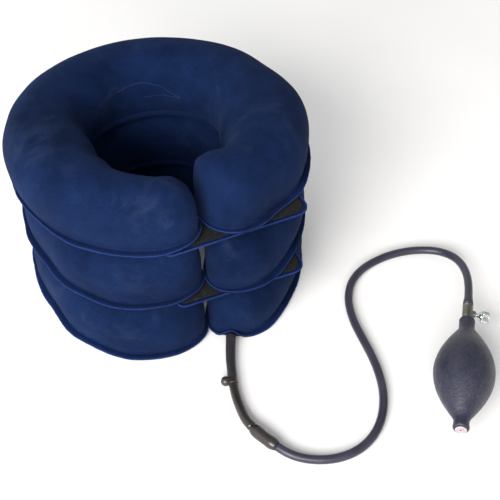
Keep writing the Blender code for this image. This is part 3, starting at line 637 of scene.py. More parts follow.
def ring_grid(name, inset):
    z0 = LEVEL[name]
    path = ring_path(name)
    G = np.zeros((len(path), len(PROFILE), 3))
    for i, st in enumerate(path):
        w = max(st["w"] - inset, 1.0)
        h = max(st["h"] * st["k"] - BASE_Z - inset, 4.0)
        for j, (px, pz) in enumerate(PROFILE):
            G[i, j] = (st["c"][0] + st["n"][0] * px * w,
                       st["c"][1] + st["n"][1] * px * w, z0 + BASE_Z + pz * h)
    return path, G


def hem_loops(path):
    """Dome base outline and outward hem offset direction and width."""
    outer, inner = [], []
    for st in path:
        w = st["w"] * BASE_F
        end = min(1.0, st["near"] / 30.0)
        hem_out = HEM_OUT
        if st["name"] == "top":
            d = math.degrees(st["t"])
            side_w = min(1.0, max(0.0, (d - 55.0) / 20.0)) * min(
                1.0, max(0.0, (150.0 - d) / 20.0))
            hem_out += (TOP_HEM_SIDE - HEM_OUT) * side_w
        for sgn, hem, store in ((1.0, hem_out, outer), (-1.0, HEM_IN, inner)):
            store.append((st["c"][0] + st["n"][0] * sgn * w,
                          st["c"][1] + st["n"][1] * sgn * w,
                          HEM_END + (hem - HEM_END) * end))
    loop = np.array(outer + inner[::-1])
    # respace evenly so that the blunt ends are round
    closed = np.vstack([loop, loop[:1]])
    s = np.concatenate([[0.0], np.cumsum(np.hypot(*np.diff(closed[:, :2], axis=0).T))])
    m = 460
    q = np.arange(m) * s[-1] / m
    loop = np.stack([np.interp(q, s, closed[:, k]) for k in range(3)], 1)
    nxt, prv = np.roll(loop, -2, axis=0), np.roll(loop, 2, axis=0)
    d = nxt[:, :2] - prv[:, :2]
    d /= np.linalg.norm(d, axis=1)[:, None]
    area = np.sum(loop[:, 0] * np.roll(loop[:, 1], -1) - np.roll(loop[:, 0], -1) * loop[:, 1])
    sign = 1.0 if area > 0 else -1.0
    n = np.stack([d[:, 1], -d[:, 0]], 1) * sign
    return loop[:, :2], n, loop[:, 2], q


def cloth_inflate(ob, pin, frames=20, pressure=4.0, cap=4.0):
    """Let the closed shell swell as fabric does, then cap how far it moved."""
    scene = bpy.context.scene
    rest = np.array([v.co for v in ob.data.vertices])
    vg = ob.vertex_groups.new(name="pin")
    for i, w in enumerate(pin):
        if w > 0.0:
            vg.add([i], float(w), "REPLACE")
    mod = ob.modifiers.new("cloth", "CLOTH")
    st = mod.settings
    st.quality = 5
    st.mass = 0.25
    st.tension_stiffness = 22.0
    st.compression_stiffness = 18.0
    st.shear_stiffness = 9.0
    st.bending_stiffness = 0.9
    st.tension_damping = 8.0
    st.compression_damping = 8.0
    st.use_pressure = True
    st.uniform_pressure_force = pressure
    st.vertex_group_mass = "pin"
    st.pin_stiffness = 1.0
    st.effector_weights.gravity = 0.0
    mod.collision_settings.use_collision = False
    mod.collision_settings.use_self_collision = False
    mod.point_cache.frame_start = 1
    mod.point_cache.frame_end = frames
    for f in range(1, frames + 1):
        scene.frame_set(f)
    dg = bpy.context.evaluated_depsgraph_get()
    ev = ob.evaluated_get(dg)
    moved = np.array([v.co for v in ev.data.vertices])
    ob.modifiers.remove(mod)
    scene.frame_set(1)
    d = moved - rest
    ln = np.linalg.norm(d, axis=1)
    k = np.minimum(1.0, cap * MM / np.maximum(ln, 1e-9))
    # a soft cap, so that no edge shows where it starts
    soft = cap * MM * np.tanh(ln / (cap * MM))
    d = d * (soft / np.maximum(ln, 1e-9))[:, None]
    d[~np.isfinite(d)] = 0.0
    return rest + d


def ring_velour(name):
    path, G = ring_grid(name, 1.6)
    z0 = LEVEL[name]
    n, m = G.shape[:2]
    # uneven fill: long soft swells, a little lean of the crest
    seed = {"bottom": 3.0, "middle": 8.0, "top": 14.0}[name]
    cx = np.array([st["c"] for st in path])
    nn = np.array([st["n"] for st in path])
    for i in range(n):
        st = path[i]
        for j in range(m):
            px, pz = PROFILE[j]
            p = G[i, j]
            a = low_noise(p, 0.020, seed) * 1.5 + low_noise(p, 0.045, seed + 2) * 0.75
            a *= min(1.0, pz * 3.0) * min(1.0, st["near"] / 25.0)
            if pz > 0.8 and name != "top":
                a = min(a, 0.4)
            G[i, j, 0] += nn[i, 0] * px * a
            G[i, j, 1] += nn[i, 1] * px * a
            G[i, j, 2] += a * 0.5 * max(0.0, pz - 0.4)
    # close the shell underneath
    K = 9
    base = np.zeros((n, K, 3))
    for i in range(n):
        for k in range(K):
            f = (k + 1) / (K + 1)
            base[i, k] = G[i, -1] * (1 - f) + G[i, 0] * f
            base[i, k, 2] = z0 + BASE_Z - 0.2
    F = np.concatenate([G, base], 1)
    pts = F.reshape(-1, 3) * MM + np.array([COLLAR[0], COLLAR[1], 0.0]) * MM
    F = pts.reshape(F.shape)
    ob = from_grid(name + "_ring_velour", F, [NAVY], wrap_j=True, caps=True)
    w = np.zeros((n, m + K))
    for i in range(n):
        for j in range(m + K):
            pz = PROFILE[j][1] if j < m else 0.0
            w[i, j] = 1.0 if (j >= m or pz < 0.05 or i < 3 or i > n - 4) else 0.0
    new = cloth_inflate(ob, w.ravel(), cap=3.0)
    V = new.reshape(n, m + K, 3)
    # the air pushes it out to the cover's true size, and the seams hold it in
    for i in range(n):
        st = path[i]
        for j in range(m):
            px, pz = PROFILE[j]
            side = 1.0 if px > 0 else -1.0
            nrm = np.array([nn[i, 0] * px, nn[i, 1] * px, max(0.0, pz - WIDEST) * 1.2])
            ln = np.linalg.norm(nrm)
            if ln < 1e-6:
                continue
            nrm /= ln
            grow = 1.0 * min(1.0, pz * 4.0)
            # puckers where the dome is gathered into the hem
            hem = max(0.0, 1.0 - pz / 0.34)
            s = st["s"] + (0 if px > 0 else 400.0)
            pk = (math.sin(s * 0.62 + 1.7 * math.sin(s * 0.071 + seed))
                  + 0.6 * math.sin(s * 1.13 + 2.1 * math.sin(s * 0.053)))
            env = 0.5 + 0.5 * low_noise((s, 0.0, 0.0), 0.02, seed)
            grow += 0.34 * pk * hem * (1.0 - hem) * 2.2 * env * (1.5 if px < 0 else 1.0)
            # compression folds down the neck wall
            if px < 0 and st["near"] > 25.0:
                wall = max(0.0, 1.0 - abs(pz - 0.45) / 0.45)
                f = math.sin(st["s"] * 0.19 + seed) + 0.7 * math.sin(st["s"] * 0.31 - seed)
                grow -= 0.55 * max(0.0, f) * wall
            # gathers into the rounded ends
            if st["near"] < 26.0:
                g = (1.0 - st["near"] / 26.0) * min(1.0, st["near"] / 5.0)
                grow += 0.45 * g * math.sin(j * 0.95 + seed) * (1 - abs(pz - .5))
            V[i, j] += nrm * grow * MM
    lim = (z0 + RING_H - 0.1) * MM if name != "top" else 1.0
    V[:, :, 2] = np.minimum(V[:, :, 2], lim)
    for v, co in zip(ob.data.vertices, V.reshape(-1, 3)):
        v.co = co
    ob.data.update()
    sub = ob.modifiers.new("smooth", "SUBSURF")
    sub.levels = sub.render_levels = 1
    dg = bpy.context.evaluated_depsgraph_get()
    mesh = bpy.data.meshes.new_from_object(ob.evaluated_get(dg))
    ob.modifiers.clear()
    ob.data = mesh
    mesh.name = ob.name
    ob.vertex_groups.clear()
    for f in mesh.polygons:
        f.use_smooth = True
    return ob, path, V


def follow(ob, name):
    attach(ob, BODY[name])
    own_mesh(ob)


def stitch_line(name, pts, normals, ups, mat, length=2.6, pitch=3.4, radius=0.34,
                skip=None):
    """A run of separate stitches lying along points (mm, collar frame)."""
    pts = np.array(pts)
    s = np.concatenate([[0.0], np.cumsum(np.linalg.norm(np.diff(pts, axis=0), axis=1))])
    bm = bmesh.new()
    count = int(s[-1] / pitch)
    for k in range(count):
        c = (k + 0.5) * pitch
        if skip is not None and skip(k):
            continue
        a = np.array([np.interp(c - length / 2, s, pts[:, q]) for q in range(3)])
        b = np.array([np.interp(c + length / 2, s, pts[:, q]) for q in range(3)])
        i = min(len(ups) - 1, int(np.searchsorted(s, c)))
        up = np.array(ups[i], float)
        d = b - a
        ln = np.linalg.norm(d)
        d /= ln
        side = np.cross(d, up)
        side /= np.linalg.norm(side)
        rows = []
        for q in range(7):
            f = q / 6
            r = radius * (0.25 + 0.75 * math.sin(math.pi * min(1, max(0, f))) ** 0.5)
            lift = 0.28 * math.sin(math.pi * f)
            ctr = a + d * ln * f + up * lift
            rows.append([bm.verts.new(P(*(ctr + side * r * math.cos(w) + up * r * 0.75 * math.sin(w))))
                         for w in (2 * math.pi * e / 6 for e in range(6))])
        for r0, r1 in zip(rows, rows[1:]):
            for e in range(6):
                bm.faces.new((r0[e], r0[(e + 1) % 6], r1[(e + 1) % 6], r1[e]))
        bm.faces.new(rows[0][::-1])
        bm.faces.new(rows[-1])
    bmesh.ops.recalc_face_normals(bm, faces=bm.faces)
    for f in bm.faces:
        f.smooth = True
    mesh = bpy.data.meshes.new(name)
    bm.to_mesh(mesh)
    bm.free()
    return link(name, mesh, [mat])


def loop_tube(name, pts, radius, mat, sides=10, fuzz=0.0, seed=0.0):
    """Closed ring tube along points (mm, collar frame)."""
    n = len(pts)
    G = np.zeros((n, sides, 3))
    for i in range(n):
        p = Vector(pts[i])
        d = (Vector(pts[(i + 1) % n]) - Vector(pts[i - 1])).normalized()
        x = Vector((0, 0, 1)).cross(d)
        if x.length < 1e-6:
            x = Vector((1, 0, 0))
        x.normalize()
        y = d.cross(x)
        for j in range(sides):
            a = 2 * math.pi * j / sides
            r = radius * (1 + fuzz * noise.noise(Vector((i * 0.9, j * 1.7, seed))))
            G[i, j] = P(*(p + x * (r * math.cos(a)) + y * (r * math.sin(a))))
    return from_grid(name, G, [mat], wrap_i=True, wrap_j=True)


def ring_hem(name, path):
    """Two layers sewn flat round the dome: cover hem, rim and stitches; the panel is made by ring_underside."""
    xy, nrm, hem, s = hem_loops(path)
    z0 = LEVEL[name]
    m = len(xy)
    seed = {"bottom": 1.0, "middle": 5.0, "top": 9.0}[name]
    wave = np.array([noise.noise(Vector((q * 0.045, seed, 0.0))) * 0.9
                     + noise.noise(Vector((q * 0.16, seed + 4, 0.0))) * 0.35 for q in s])
    lift = np.array([max(0.0, noise.noise(Vector((q * 0.03, seed + 9, 2.0)))) for q in s])
    rise = np.zeros(m)
    if name == "bottom":     # the hem is raised where the tube passes under it
        t0 = Vector((12.2, -123.0))
        for i in range(m):
            d = (Vector(xy[i] + nrm[i] * hem[i] * 0.6) - t0).length
            rise[i] = 10.0 * math.exp(-(d / 8.5) ** 2)
    out = hem + wave * 0.55
    # cover hem: from under the dome to the rim
    prof = [(-5.0, 1.55), (-2.0, 1.5), (0.55, 1.5), (0.95, 1.5), (1.0, 1.95), (1.0, 2.55),
            (0.92, 2.95), (0.75, 3.05), (0.50, 2.90), (0.28, 2.62), (0.20, 2.50),
            (0.13, 2.62), (0.06, 3.0), (-1.2, 4.2), (-5.0, 5.6)]
    G = np.zeros((m, len(prof), 3))
    for i in range(m):
        for j, (f, z) in enumerate(prof):
            o = f if f < 0 else f * out[i]
            zz = z + (lift[i] * 0.5 * max(0.0, f)) + rise[i] * max(0.0, min(1.0, 0.5 + f * 0.6))
            if f > 0.25 and z > 2.0:
                zz += 0.18 * noise.noise(Vector((s[i] * 0.35, f * 3.0, seed)))
            G[i, j] = P(*(xy[i] + nrm[i] * o), z0 + zz)
    hem_ob = from_grid(name + "_ring_hem", G, [NAVY_HEM], wrap_i=True, wrap_j=True)
    # fuzzy cut rim, painted brighter than the nap as a highlight along the edge
    rim = [(*(xy[i] + nrm[i] * (out[i] + 0.05)), z0 + 2.35 + lift[i] * 0.5 + rise[i])
           for i in range(m)]
    rim_ob = loop_tube(name + "_hem_rim", rim, 0.50, EDGE_HIGHLIGHT, 8, 0.45, seed)
    # the rim inside the neck hole takes the darker underside velour: painted shade in the hole
    rim_ob.data.materials.append(NAVY_UNDER_AND_SHADE)
    for poly in rim_ob.data.polygons:
        q = poly.center / MM
        if math.hypot(q.x - COLLAR[0], q.y - COLLAR[1]) < 66.0 and q.y > COLLAR[1] - 52.0:
            poly.material_index = 1
    # stitches in the groove beside the dome
    st = [(*(xy[i] + nrm[i] * out[i] * 0.21), z0 + 2.62 + rise[i] * 0.62) for i in range(m)]
    st.append(st[0])
    seam = stitch_line(name + "_hem_stitches", st, None, [(0, 0, 1)] * len(st), THREAD,
                       2.5, 3.3, 0.36)
    # outline points of an underside panel, outer and inner; no sheet is built from them here
    inner_f = [0.0, 0.12, 0.3, 0.5, 0.7, 0.88, 1.0]
    K = len(inner_f)
    cols = []
    half = m // 2
    # outer half of the loop runs with the path, the inner half comes back
    n_st = len(path)
    ring_o, ring_i = [], []
    po, pi_ = [], []
    for q in path:
        w = q["w"] * BASE_F
        end = min(1.0, q["near"] / 30.0)
        ho = HEM_END + (HEM_OUT - HEM_END) * end - 0.5
        hi = HEM_END + (HEM_IN - HEM_END) * end - 0.5
        c, n_ = np.array(q["c"]), np.array(q["n"])
        po.append(c + n_ * (w + ho))
        pi_.append(c - n_ * (w + hi))
    for ob_ in (hem_ob, rim_ob, seam):
        follow(ob_, name)
    return hem_ob, rim_ob, seam, (xy, nrm, out, rise, s)


def ring_underside(name, info):
    """Base panel: the sewn outline filled with a fine, slightly wavy sheet."""
    xy, nrm, out, rise, s = info
    z0 = LEVEL[name]
    m = len(xy)
    bm = bmesh.new()
    fr = [(0.98, 0.62), (0.90, 0.16), (0.72, 0.02), (0.0, 0.02)]
    rows = []
    for f, z in [(0.985, 1.15)] + fr:
        row = []
        for i in range(m):
            zz = z + rise[i] * max(0.0, min(1.0, 0.45 + f * 0.55))
            row.append(bm.verts.new(P(*(xy[i] + nrm[i] * (out[i] * f)), z0 + zz)))
        rows.append(row)
    for a, b in zip(rows, rows[1:]):
        for i in range(m):
            k = (i + 1) % m
            bm.faces.new((a[i], a[k], b[k], b[i]))
    low = rows[-1]
    edges = []
    for i in range(m):
        e = bm.edges.get((low[i], low[(i + 1) % m]))
        edges.append(e)
    bmesh.ops.triangle_fill(bm, use_beauty=True, edges=edges)
    top = rows[0]
    edges = [bm.edges.get((top[i], top[(i + 1) % m])) for i in range(m)]
    bmesh.ops.triangle_fill(bm, use_beauty=True, edges=edges)
    bmesh.ops.recalc_face_normals(bm, faces=bm.faces)
    mesh = bpy.data.meshes.new(name + "_ring_underside")
    bm.to_mesh(mesh)
    bm.free()
    for f in mesh.polygons:
        f.use_smooth = True
    ob = link(name + "_ring_underside", mesh, [NAVY_UNDER_AND_SHADE])
    ob.data.set_sharp_from_angle(angle=math.radians(60))
    follow(ob, name)
    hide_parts(name + "_ring_base_panel")
    return ob


rings = {}
for ring in ("bottom", "middle", "top"):
    ob, path, V = ring_velour(ring)
    follow(ob, ring)
    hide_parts(ring + "_ring_cover")
    hem_ob, rim_ob, seam_ob, info = ring_hem(ring, path)
    ring_underside(ring, info)
    rings[ring] = (ob, path, V, info)

# ------------------------------------------------------------------ small lines
def laid_on(ob, pts, lift):
    """Points (mm, collar frame) moved on to a cloth surface, with its normals."""
    tree = BVHTree.FromPolygons([v.co for v in ob.data.vertices],
                                [p.vertices for p in ob.data.polygons])
    out, ups = [], []
    middle = Vector((COLLAR[0], COLLAR[1], 0.0)) * MM
    for p in relax(spline(pts, 1.2), 4):
        co, nr, _, _ = tree.find_nearest(P(*p))
        if nr.dot(Vector((middle.x, middle.y, co.z + 0.02)) - co) < 0.0:
            nr = -nr
        q = (co + nr * lift * MM) / MM
        out.append((q.x - COLLAR[0], q.y - COLLAR[1], q.z))
        ups.append(tuple(nr))
    return out, ups


top_cloth = bpy.data.objects["top_ring_velour"]
# a thin lighter line laid on the top ring's inner back wall: a painted highlight along a crease
FOLD_HIGHLIGHT_PTS = ((-12.5, 61.3, 160.9), (-6.2, 62.4, 162.4), (1.4, 62.9, 163.2), (7.8, 62.7, 163.9),
        (14.2, 61.5, 163.2), (20.2, 59.4, 160.9), (26.9, 56.6, 158.5), (33.8, 52.7, 153.6),
        (38.4, 49.5, 150.3), (42.6, 46.1, 147.0))
INNER = ((11.9, 60.5, 148.7), (17.0, 59.4, 148.7), (23.9, 57.3, 149.0), (31.2, 54.1, 148.7),
         (36.9, 50.6, 148.2), (43.3, 45.5, 147.0))
on, ups = laid_on(top_cloth, FOLD_HIGHLIGHT_PTS, 0.05)
fold_highlight = tube_mesh("top_ring_fold_highlight", on, 0.3, [EDGE_HIGHLIGHT], 8)
follow(fold_highlight, "top")
on, ups = laid_on(top_cloth, INNER, 0.12)
dotted = stitch_line("top_ring_inner_stitches", on, None, ups, THREAD_PALE, 1.0, 2.0, 0.28)
follow(dotted, "top")
loose = relax(spline(((-44.6, -102.2, 125.6), (-43.1, -105.0, 123.4), (-41.1, -107.7, 121.9),
                      (-37.5, -108.7, 122.2), (-34.8, -107.6, 124.0),
                      (-33.2, -104.9, 125.6)), 0.7), 2)
snag = tube_mesh("top_ring_loose_thread", loose, 0.28, [THREAD_PALE], 8)
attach(snag, BODY["top"])

# ------------------------------------------------------------------ straps
STRAP_W = 33.0
STRAPS = {
    # name: (rides with, level, left end x, right end x, centre y, turn in degrees)
    "upper": ("top", 2.0 * PITCH, -41.0, 93.0, -101.0, -1.0),
    "lower": ("middle", PITCH, -33.0, 88.0, -106.0, -3.0),
}


def bar_outline(x0, x1, half_w, cy, turn, corner, steps=12, end_corner=13.0):
    pts = []
    for x, way, sy, a0, r in ((x1, -1, 1, 0, end_corner), (x0, 1, 1, 90, corner),
                              (x0, 1, -1, 180, corner), (x1, -1, -1, 270, end_corner)):
        for i in range(steps):
            a = math.radians(a0 + 90.0 * i / (steps - 1))
            pts.append((x + way * r + r * math.cos(a),
                        sy * (half_w - r) + r * math.sin(a)))
    closed = np.array(pts + [pts[0]])
    s = np.concatenate([[0.0], np.cumsum(np.hypot(*np.diff(closed, axis=0).T))])
    n = int(s[-1] / 1.6)
    q = np.arange(n) * s[-1] / n
    x, y = np.interp(q, s, closed[:, 0]), np.interp(q, s, closed[:, 1])
    r = math.radians(turn)
    mx = 0.5 * (x0 + x1)
    X = mx + (x - mx) * math.cos(r) - y * math.sin(r)
    Y = cy + (x - mx) * math.sin(r) + y * math.cos(r)
    nxt, prv = np.roll(np.stack([X, Y], 1), -1, axis=0), np.roll(np.stack([X, Y], 1), 1, axis=0)
    d = nxt - prv
    d /= np.linalg.norm(d, axis=1)[:, None]
    return np.stack([X, Y], 1), np.stack([d[:, 1], -d[:, 0]], 1), q


def sheet_from_outline(name, rows, mats, split=None):
    """Stacked outlines (each an (n, 3) array in m) skinned, ends filled finely."""
    bm = bmesh.new()
    vs = [[bm.verts.new(p) for p in row] for row in rows]
    n = len(vs[0])
    for a, b in zip(vs, vs[1:]):
        for i in range(n):
            k = (i + 1) % n
            bm.faces.new((a[i], a[k], b[k], b[i]))
    for row in (vs[0], vs[-1]):
        edges = [bm.edges.get((row[i], row[(i + 1) % n])) for i in range(n)]
        bmesh.ops.triangle_fill(bm, use_beauty=True, edges=edges)
    bmesh.ops.recalc_face_normals(bm, faces=bm.faces)
    mesh = bpy.data.meshes.new(name)
    bm.to_mesh(mesh)
    bm.free()
    for f in mesh.polygons:
        f.use_smooth = True
    return link(name, mesh, mats)


for which, (ring, level, x0, x1, cy, turn) in STRAPS.items():
    zb = level - 3.45                      # underside of the strap
    xy, nr, q = bar_outline(x0, x1, STRAP_W / 2.0, cy, turn, 7.0)
    sag = np.array([0.35 * noise.noise(Vector((x * 0.05, y * 0.05, level))) for x, y in xy])

    def layer(off, z):
        return np.array([P(x + a * off, y + b * off, zb + z)
                         for (x, y), (a, b), d in zip(xy, nr, sag)])

    strap = sheet_from_outline(which + "_strap", [
        layer(-1.2, 0.02), layer(-0.3, 0.10), layer(0.0, 0.5), layer(-0.1, 0.95),
        layer(-0.9, 1.25), layer(-1.9, 1.22), layer(-2.4, 1.12)], [NAVY_HEM])
    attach(strap, BODY[ring])
    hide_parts(which + "_closure_strap")
    # bound edge, turned over and sewn: a soft raised roll round the strap, painted lighter as a highlight along the
    # roll
    bind_pts = [(x - a * 0.75, y - b * 0.75, zb + 1.25) for (x, y), (a, b) in zip(xy, nr)]
    bind = loop_tube(which + "_strap_binding", bind_pts, 0.72, EDGE_HIGHLIGHT, 10, 0.18, level)
    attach(bind, BODY[ring])
    inner_pts = [(x - a * 2.3, y - b * 2.3, zb + 1.42) for (x, y), (a, b) in zip(xy, nr)]
    inner_pts.append(inner_pts[0])
    sew = stitch_line(which + "_strap_stitches", inner_pts, None,
                      [(0, 0, 1)] * len(inner_pts), THREAD, 2.2, 2.9, 0.30)
    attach(sew, BODY[ring])
    # loop pad: a thin crowned mat of uneven pile
    PX, PY = 3.0, 3.0
    hw = STRAP_W / 2.0 - 3.9
    nx_, ny_ = int((x1 - x0 - 5.8) / 1.5), 20
    r = math.radians(turn)
    mx = 0.5 * (x0 + x1)
    bm = bmesh.new()
    corner = 5.0
    top, bot = [], []
    for i in range(nx_ + 1):
        rt, rb = [], []
        lx = x0 + 2.9 + (x1 - x0 - 5.8) * i / nx_
        dx = min(lx - (x0 + 2.9), (x1 - 2.9) - lx)
        rc = corner if lx < mx else 11.5
        lim = hw if dx > rc else hw - rc + math.sqrt(max(0.0, rc ** 2 - (rc - dx) ** 2))
        for j in range(ny_ + 1):
            f = 2.0 * j / ny_ - 1.0
            ly = f * lim
            X = mx + (lx - mx) * math.cos(r) - ly * math.sin(r)
            Y = cy + (lx - mx) * math.sin(r) + ly * math.cos(r)
            e = min(1.0, (1 - abs(f)) * lim / 1.2, dx / 1.2 + 0.05)
            h = 0.75 * max(0.0, e) ** 0.5
            h += 0.16 * noise.noise(Vector((X * 1.3, Y * 1.3, level))) * e
            rt.append(bm.verts.new(P(X, Y, zb + 1.32 + h)))
            rb.append(bm.verts.new(P(X, Y, zb + 1.28)))
        top.append(rt)
        bot.append(rb)
    for i in range(nx_):
        for j in range(ny_):
            bm.faces.new((top[i][j], top[i + 1][j], top[i + 1][j + 1], top[i][j + 1]))
            bm.faces.new((bot[i][j], bot[i][j + 1], bot[i + 1][j + 1], bot[i + 1][j]))
    for i in range(nx_):
        bm.faces.new((top[i][0], bot[i][0], bot[i + 1][0], top[i + 1][0]))
        bm.faces.new((top[i][ny_], top[i + 1][ny_], bot[i + 1][ny_], bot[i][ny_]))
    for j in range(ny_):
        bm.faces.new((top[0][j], top[0][j + 1], bot[0][j + 1], bot[0][j]))
        bm.faces.new((top[nx_][j], bot[nx_][j], bot[nx_][j + 1], top[nx_][j + 1]))
    bmesh.ops.recalc_face_normals(bm, faces=bm.faces)
    mesh = bpy.data.meshes.new(which + "_loop_mat")
    bm.to_mesh(mesh)
    bm.free()
    for f in mesh.polygons:
        f.use_smooth = True
    pad = link(which + "_loop_mat", mesh, [LOOP])
    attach(pad, BODY[ring])
    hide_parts(which + "_strap_loop_pad")
    # hook tape on the underside of the left end, with rows of hooks
    hx0, hx1 = x0 + 4.0, -11.0
    zt = level - FABRIC_GAP
    hxy, hn, hq = bar_outline(hx0, hx1, 9.0, cy + 4.0, turn, 3.0)

    def hlayer(off, z):
        return np.array([P(x + a * off, y + b * off, zt + z) for (x, y), (a, b) in zip(hxy, hn)])

    hook = sheet_from_outline(which + "_hook_tape", [
        hlayer(-0.5, -0.02), hlayer(0.0, -0.12), hlayer(0.0, -0.40), hlayer(-0.5, -0.50)], [HOOK])
    bm = bmesh.new()
    bm.from_mesh(hook.data)
    rr = math.radians(turn)
    hm = 0.5 * (hx0 + hx1)
    for i in range(int((hx1 - hx0 - 3) / 1.7)):
        for j in range(9):
            lx, ly = hx0 + 2.0 + 1.7 * i, -7.2 + 1.8 * j
            X = hm + (lx - hm) * math.cos(rr) - ly * math.sin(rr)
            Y = cy + 4.0 + (lx - hm) * math.sin(rr) + ly * math.cos(rr)
            bmesh.ops.create_cone(bm, cap_ends=True, segments=5, radius1=0.10 * MM,
                                  radius2=0.24 * MM, depth=0.28 * MM,
                                  matrix=Matrix.Translation(P(X, Y, zt - 0.55)) @ Matrix.Rotation(math.pi, 4, "X"))
    bm.to_mesh(hook.data)
    bm.free()
    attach(hook, BODY[ring])
    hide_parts(which + "_hook_patch")

# ------------------------------------------------------------------ pump
axis = pump_axis
across = Vector((-axis.y, axis.x, 0.0))
if across.x < 0.0:
    across = -across
pump_m = frame_of(P(*PUMP_MOUTH), axis, across)
NECK_R, NECK_L, TAIL_R, TAIL_L, BULB_R, BULB_L = 6.9, 13.0, 6.4, 10.0, 26.0, 119.0


def bulb_radius(t):
    if t <= NECK_L:
        return NECK_R
    if t >= BULB_L - TAIL_L:
        return TAIL_R
    u = (t - NECK_L) / (BULB_L - TAIL_L - NECK_L)
    base = NECK_R + (TAIL_R - NECK_R) * u
    return base + (BULB_R - 0.5 * (NECK_R + TAIL_R)) * math.sin(math.pi * u) ** 1.0


ts = list(np.linspace(NECK_L - 1.0, BULB_L - TAIL_L + 1.0, 70))
rs = [bulb_radius(min(max(t, NECK_L), BULB_L - TAIL_L)) for t in ts]
rs = list(np.convolve(np.pad(rs, 2, mode="edge"), np.ones(5) / 5, "valid"))
rs[0], rs[-1] = NECK_R, TAIL_R
prof = [(4.55, 12.0), (4.55, 0.5), (4.9, 0.05), (5.8, 0.0), (6.5, 0.45), (NECK_R + 0.05, 1.4),
        (NECK_R + 0.15, 2.6), (NECK_R, 3.6), (NECK_R - 0.12, 6.0), (NECK_R - 0.1, 9.0)]
prof += list(zip(rs, ts))
prof += [(TAIL_R, BULB_L - 7.5), (TAIL_R + 0.02, BULB_L - 4.2), (TAIL_R + 0.35, BULB_L - 3.2),
         (TAIL_R + 0.35, BULB_L - 1.2), (TAIL_R - 0.1, BULB_L - 0.3), (TAIL_R - 0.9, BULB_L),
         (4.55, BULB_L - 0.05), (4.5, BULB_L - 8.0), (4.6, BULB_L - 12.0)]
# the inner wall
prof += [(bulb_radius(t) - 2.6 if bulb_radius(t) - 2.6 > 4.6 else 4.6, t)
         for t in np.linspace(BULB_L - 14.0, 14.0, 24)]


def seam(a, prof):
    """Two moulding lines run along the bulb."""
    out = np.zeros(len(prof))
    for k in (0.0, math.pi):
        d = (a - k + math.pi) % (2 * math.pi) - math.pi
        out += 0.16 * math.exp(-(d / 0.022) ** 2)
    out *= (prof[:, 0] > 4.7)
    return out


bulb = lathe("hand_pump_bulb", prof, pump_m, [BULB], 144, displace=seam)
sharp(bulb, 55)
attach(bulb, "collar_base")
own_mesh(bulb)
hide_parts("pump_bulb")

valve_prof = rounded([(4.0, 11.6), (4.25, 10.8), (4.25, 9.2), (4.0, 8.8), (4.25, 5.2), (4.0, 4.8),
                      (4.0, -0.35), (4.8, -0.6), (4.8, -1.6), (4.6, -1.8), (4.6, -2.3), (4.8, -2.5),
                      (4.8, -14.6), (4.6, -14.8), (4.6, -15.3), (4.8, -15.5),
                      (4.8, -16.9), (4.4, -17.4),
                      (1.3, -17.4), (1.3, 2.0), (2.45, 2.6), (2.45, 9.0), (3.2, 9.1), (3.2, 11.6)], 0.22)
valve = lathe("air_valve_body", valve_prof, pump_m, [BRASS], 96)
sharp(valve, 40)
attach(valve, "collar_base")
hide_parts("release_valve_body")
tilt = math.radians(12.0)
screw_dir = across * math.cos(tilt) - Vector((0, 0, 1)) * math.sin(tilt)
screw_o = PUMP_MOUTH + axis * -8.6
screw_m = frame_of(P(*screw_o), screw_dir, axis)
boss = lathe("valve_boss", rounded([(3.4, 3.1), (3.4, 5.6), (3.05, 5.9), (3.3, 6.2), (3.3, 6.6), (2.25, 6.6),
                                    (2.25, 3.1)], 0.18), screw_m, [BRASS], 60)
sharp(boss, 40)
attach(boss, "collar_base")


def thread(a, prof):
    z = prof[:, 1]
    mask = (prof[:, 0] > 1.6) & (prof[:, 0] < 2.15) & (z < 8.4)
    return mask * 0.10 * np.sin(2 * math.pi * z / 0.7 - a)


shank_prof = [(0.01, 5.9), (1.5, 5.9), (1.85, 6.1)]
shank_prof += [(1.85, z) for z in np.arange(6.2, 8.3, 0.08)]
shank_prof += [(1.95, 8.5), (2.2, 9.0), (2.6, 9.6), (3.3, 10.4), (4.1, 11.0), (4.6, 11.6), (4.75, 12.0),
               (4.6, 12.3), (4.15, 12.5), (0.01, 12.5)]
shank = lathe("thumbscrew_stem", shank_prof, screw_m, [CHROME], 72, displace=thread)
sharp(shank, 45)
head_prof = rounded([(0.01, 12.4), (4.2, 12.4), (4.75, 12.7), (5.4, 13.2), (5.4, 15.6), (5.4, 18.4),
                     (4.95, 19.0), (4.75, 19.2), (4.7, 19.7), (4.2, 20.0), (0.9, 20.0), (0.6, 19.75), (0.01, 19.7)], 0.2, 3)
dense = []
for (r0, z0), (r1, z1) in zip(head_prof, head_prof[1:]):
    k = max(1, int(math.hypot(r1 - r0, z1 - z0) / 0.35))
    dense += [(r0 + (r1 - r0) * i / k, z0 + (z1 - z0) * i / k) for i in range(k)]
dense.append(head_prof[-1])


def knurl(a, prof):
    r, z = prof[:, 0], prof[:, 1]
    mask = np.clip((r - 4.9) / 0.3, 0, 1) * np.clip((z - 12.9) / 0.3, 0, 1) * np.clip((18.9 - z) / 0.3, 0, 1)
    ridge = 0.5 + 0.5 * math.cos(26 * a)
    return -0.42 * mask * (ridge ** 0.7)


head = lathe("thumbscrew_head", dense, screw_m, [CHROME], 208, displace=knurl)
sharp(head, 30)
for ob_ in (shank, head):
    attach(ob_, "thumbscrew")
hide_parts("release_thumbscrew")
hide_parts("release_thumbscrew")

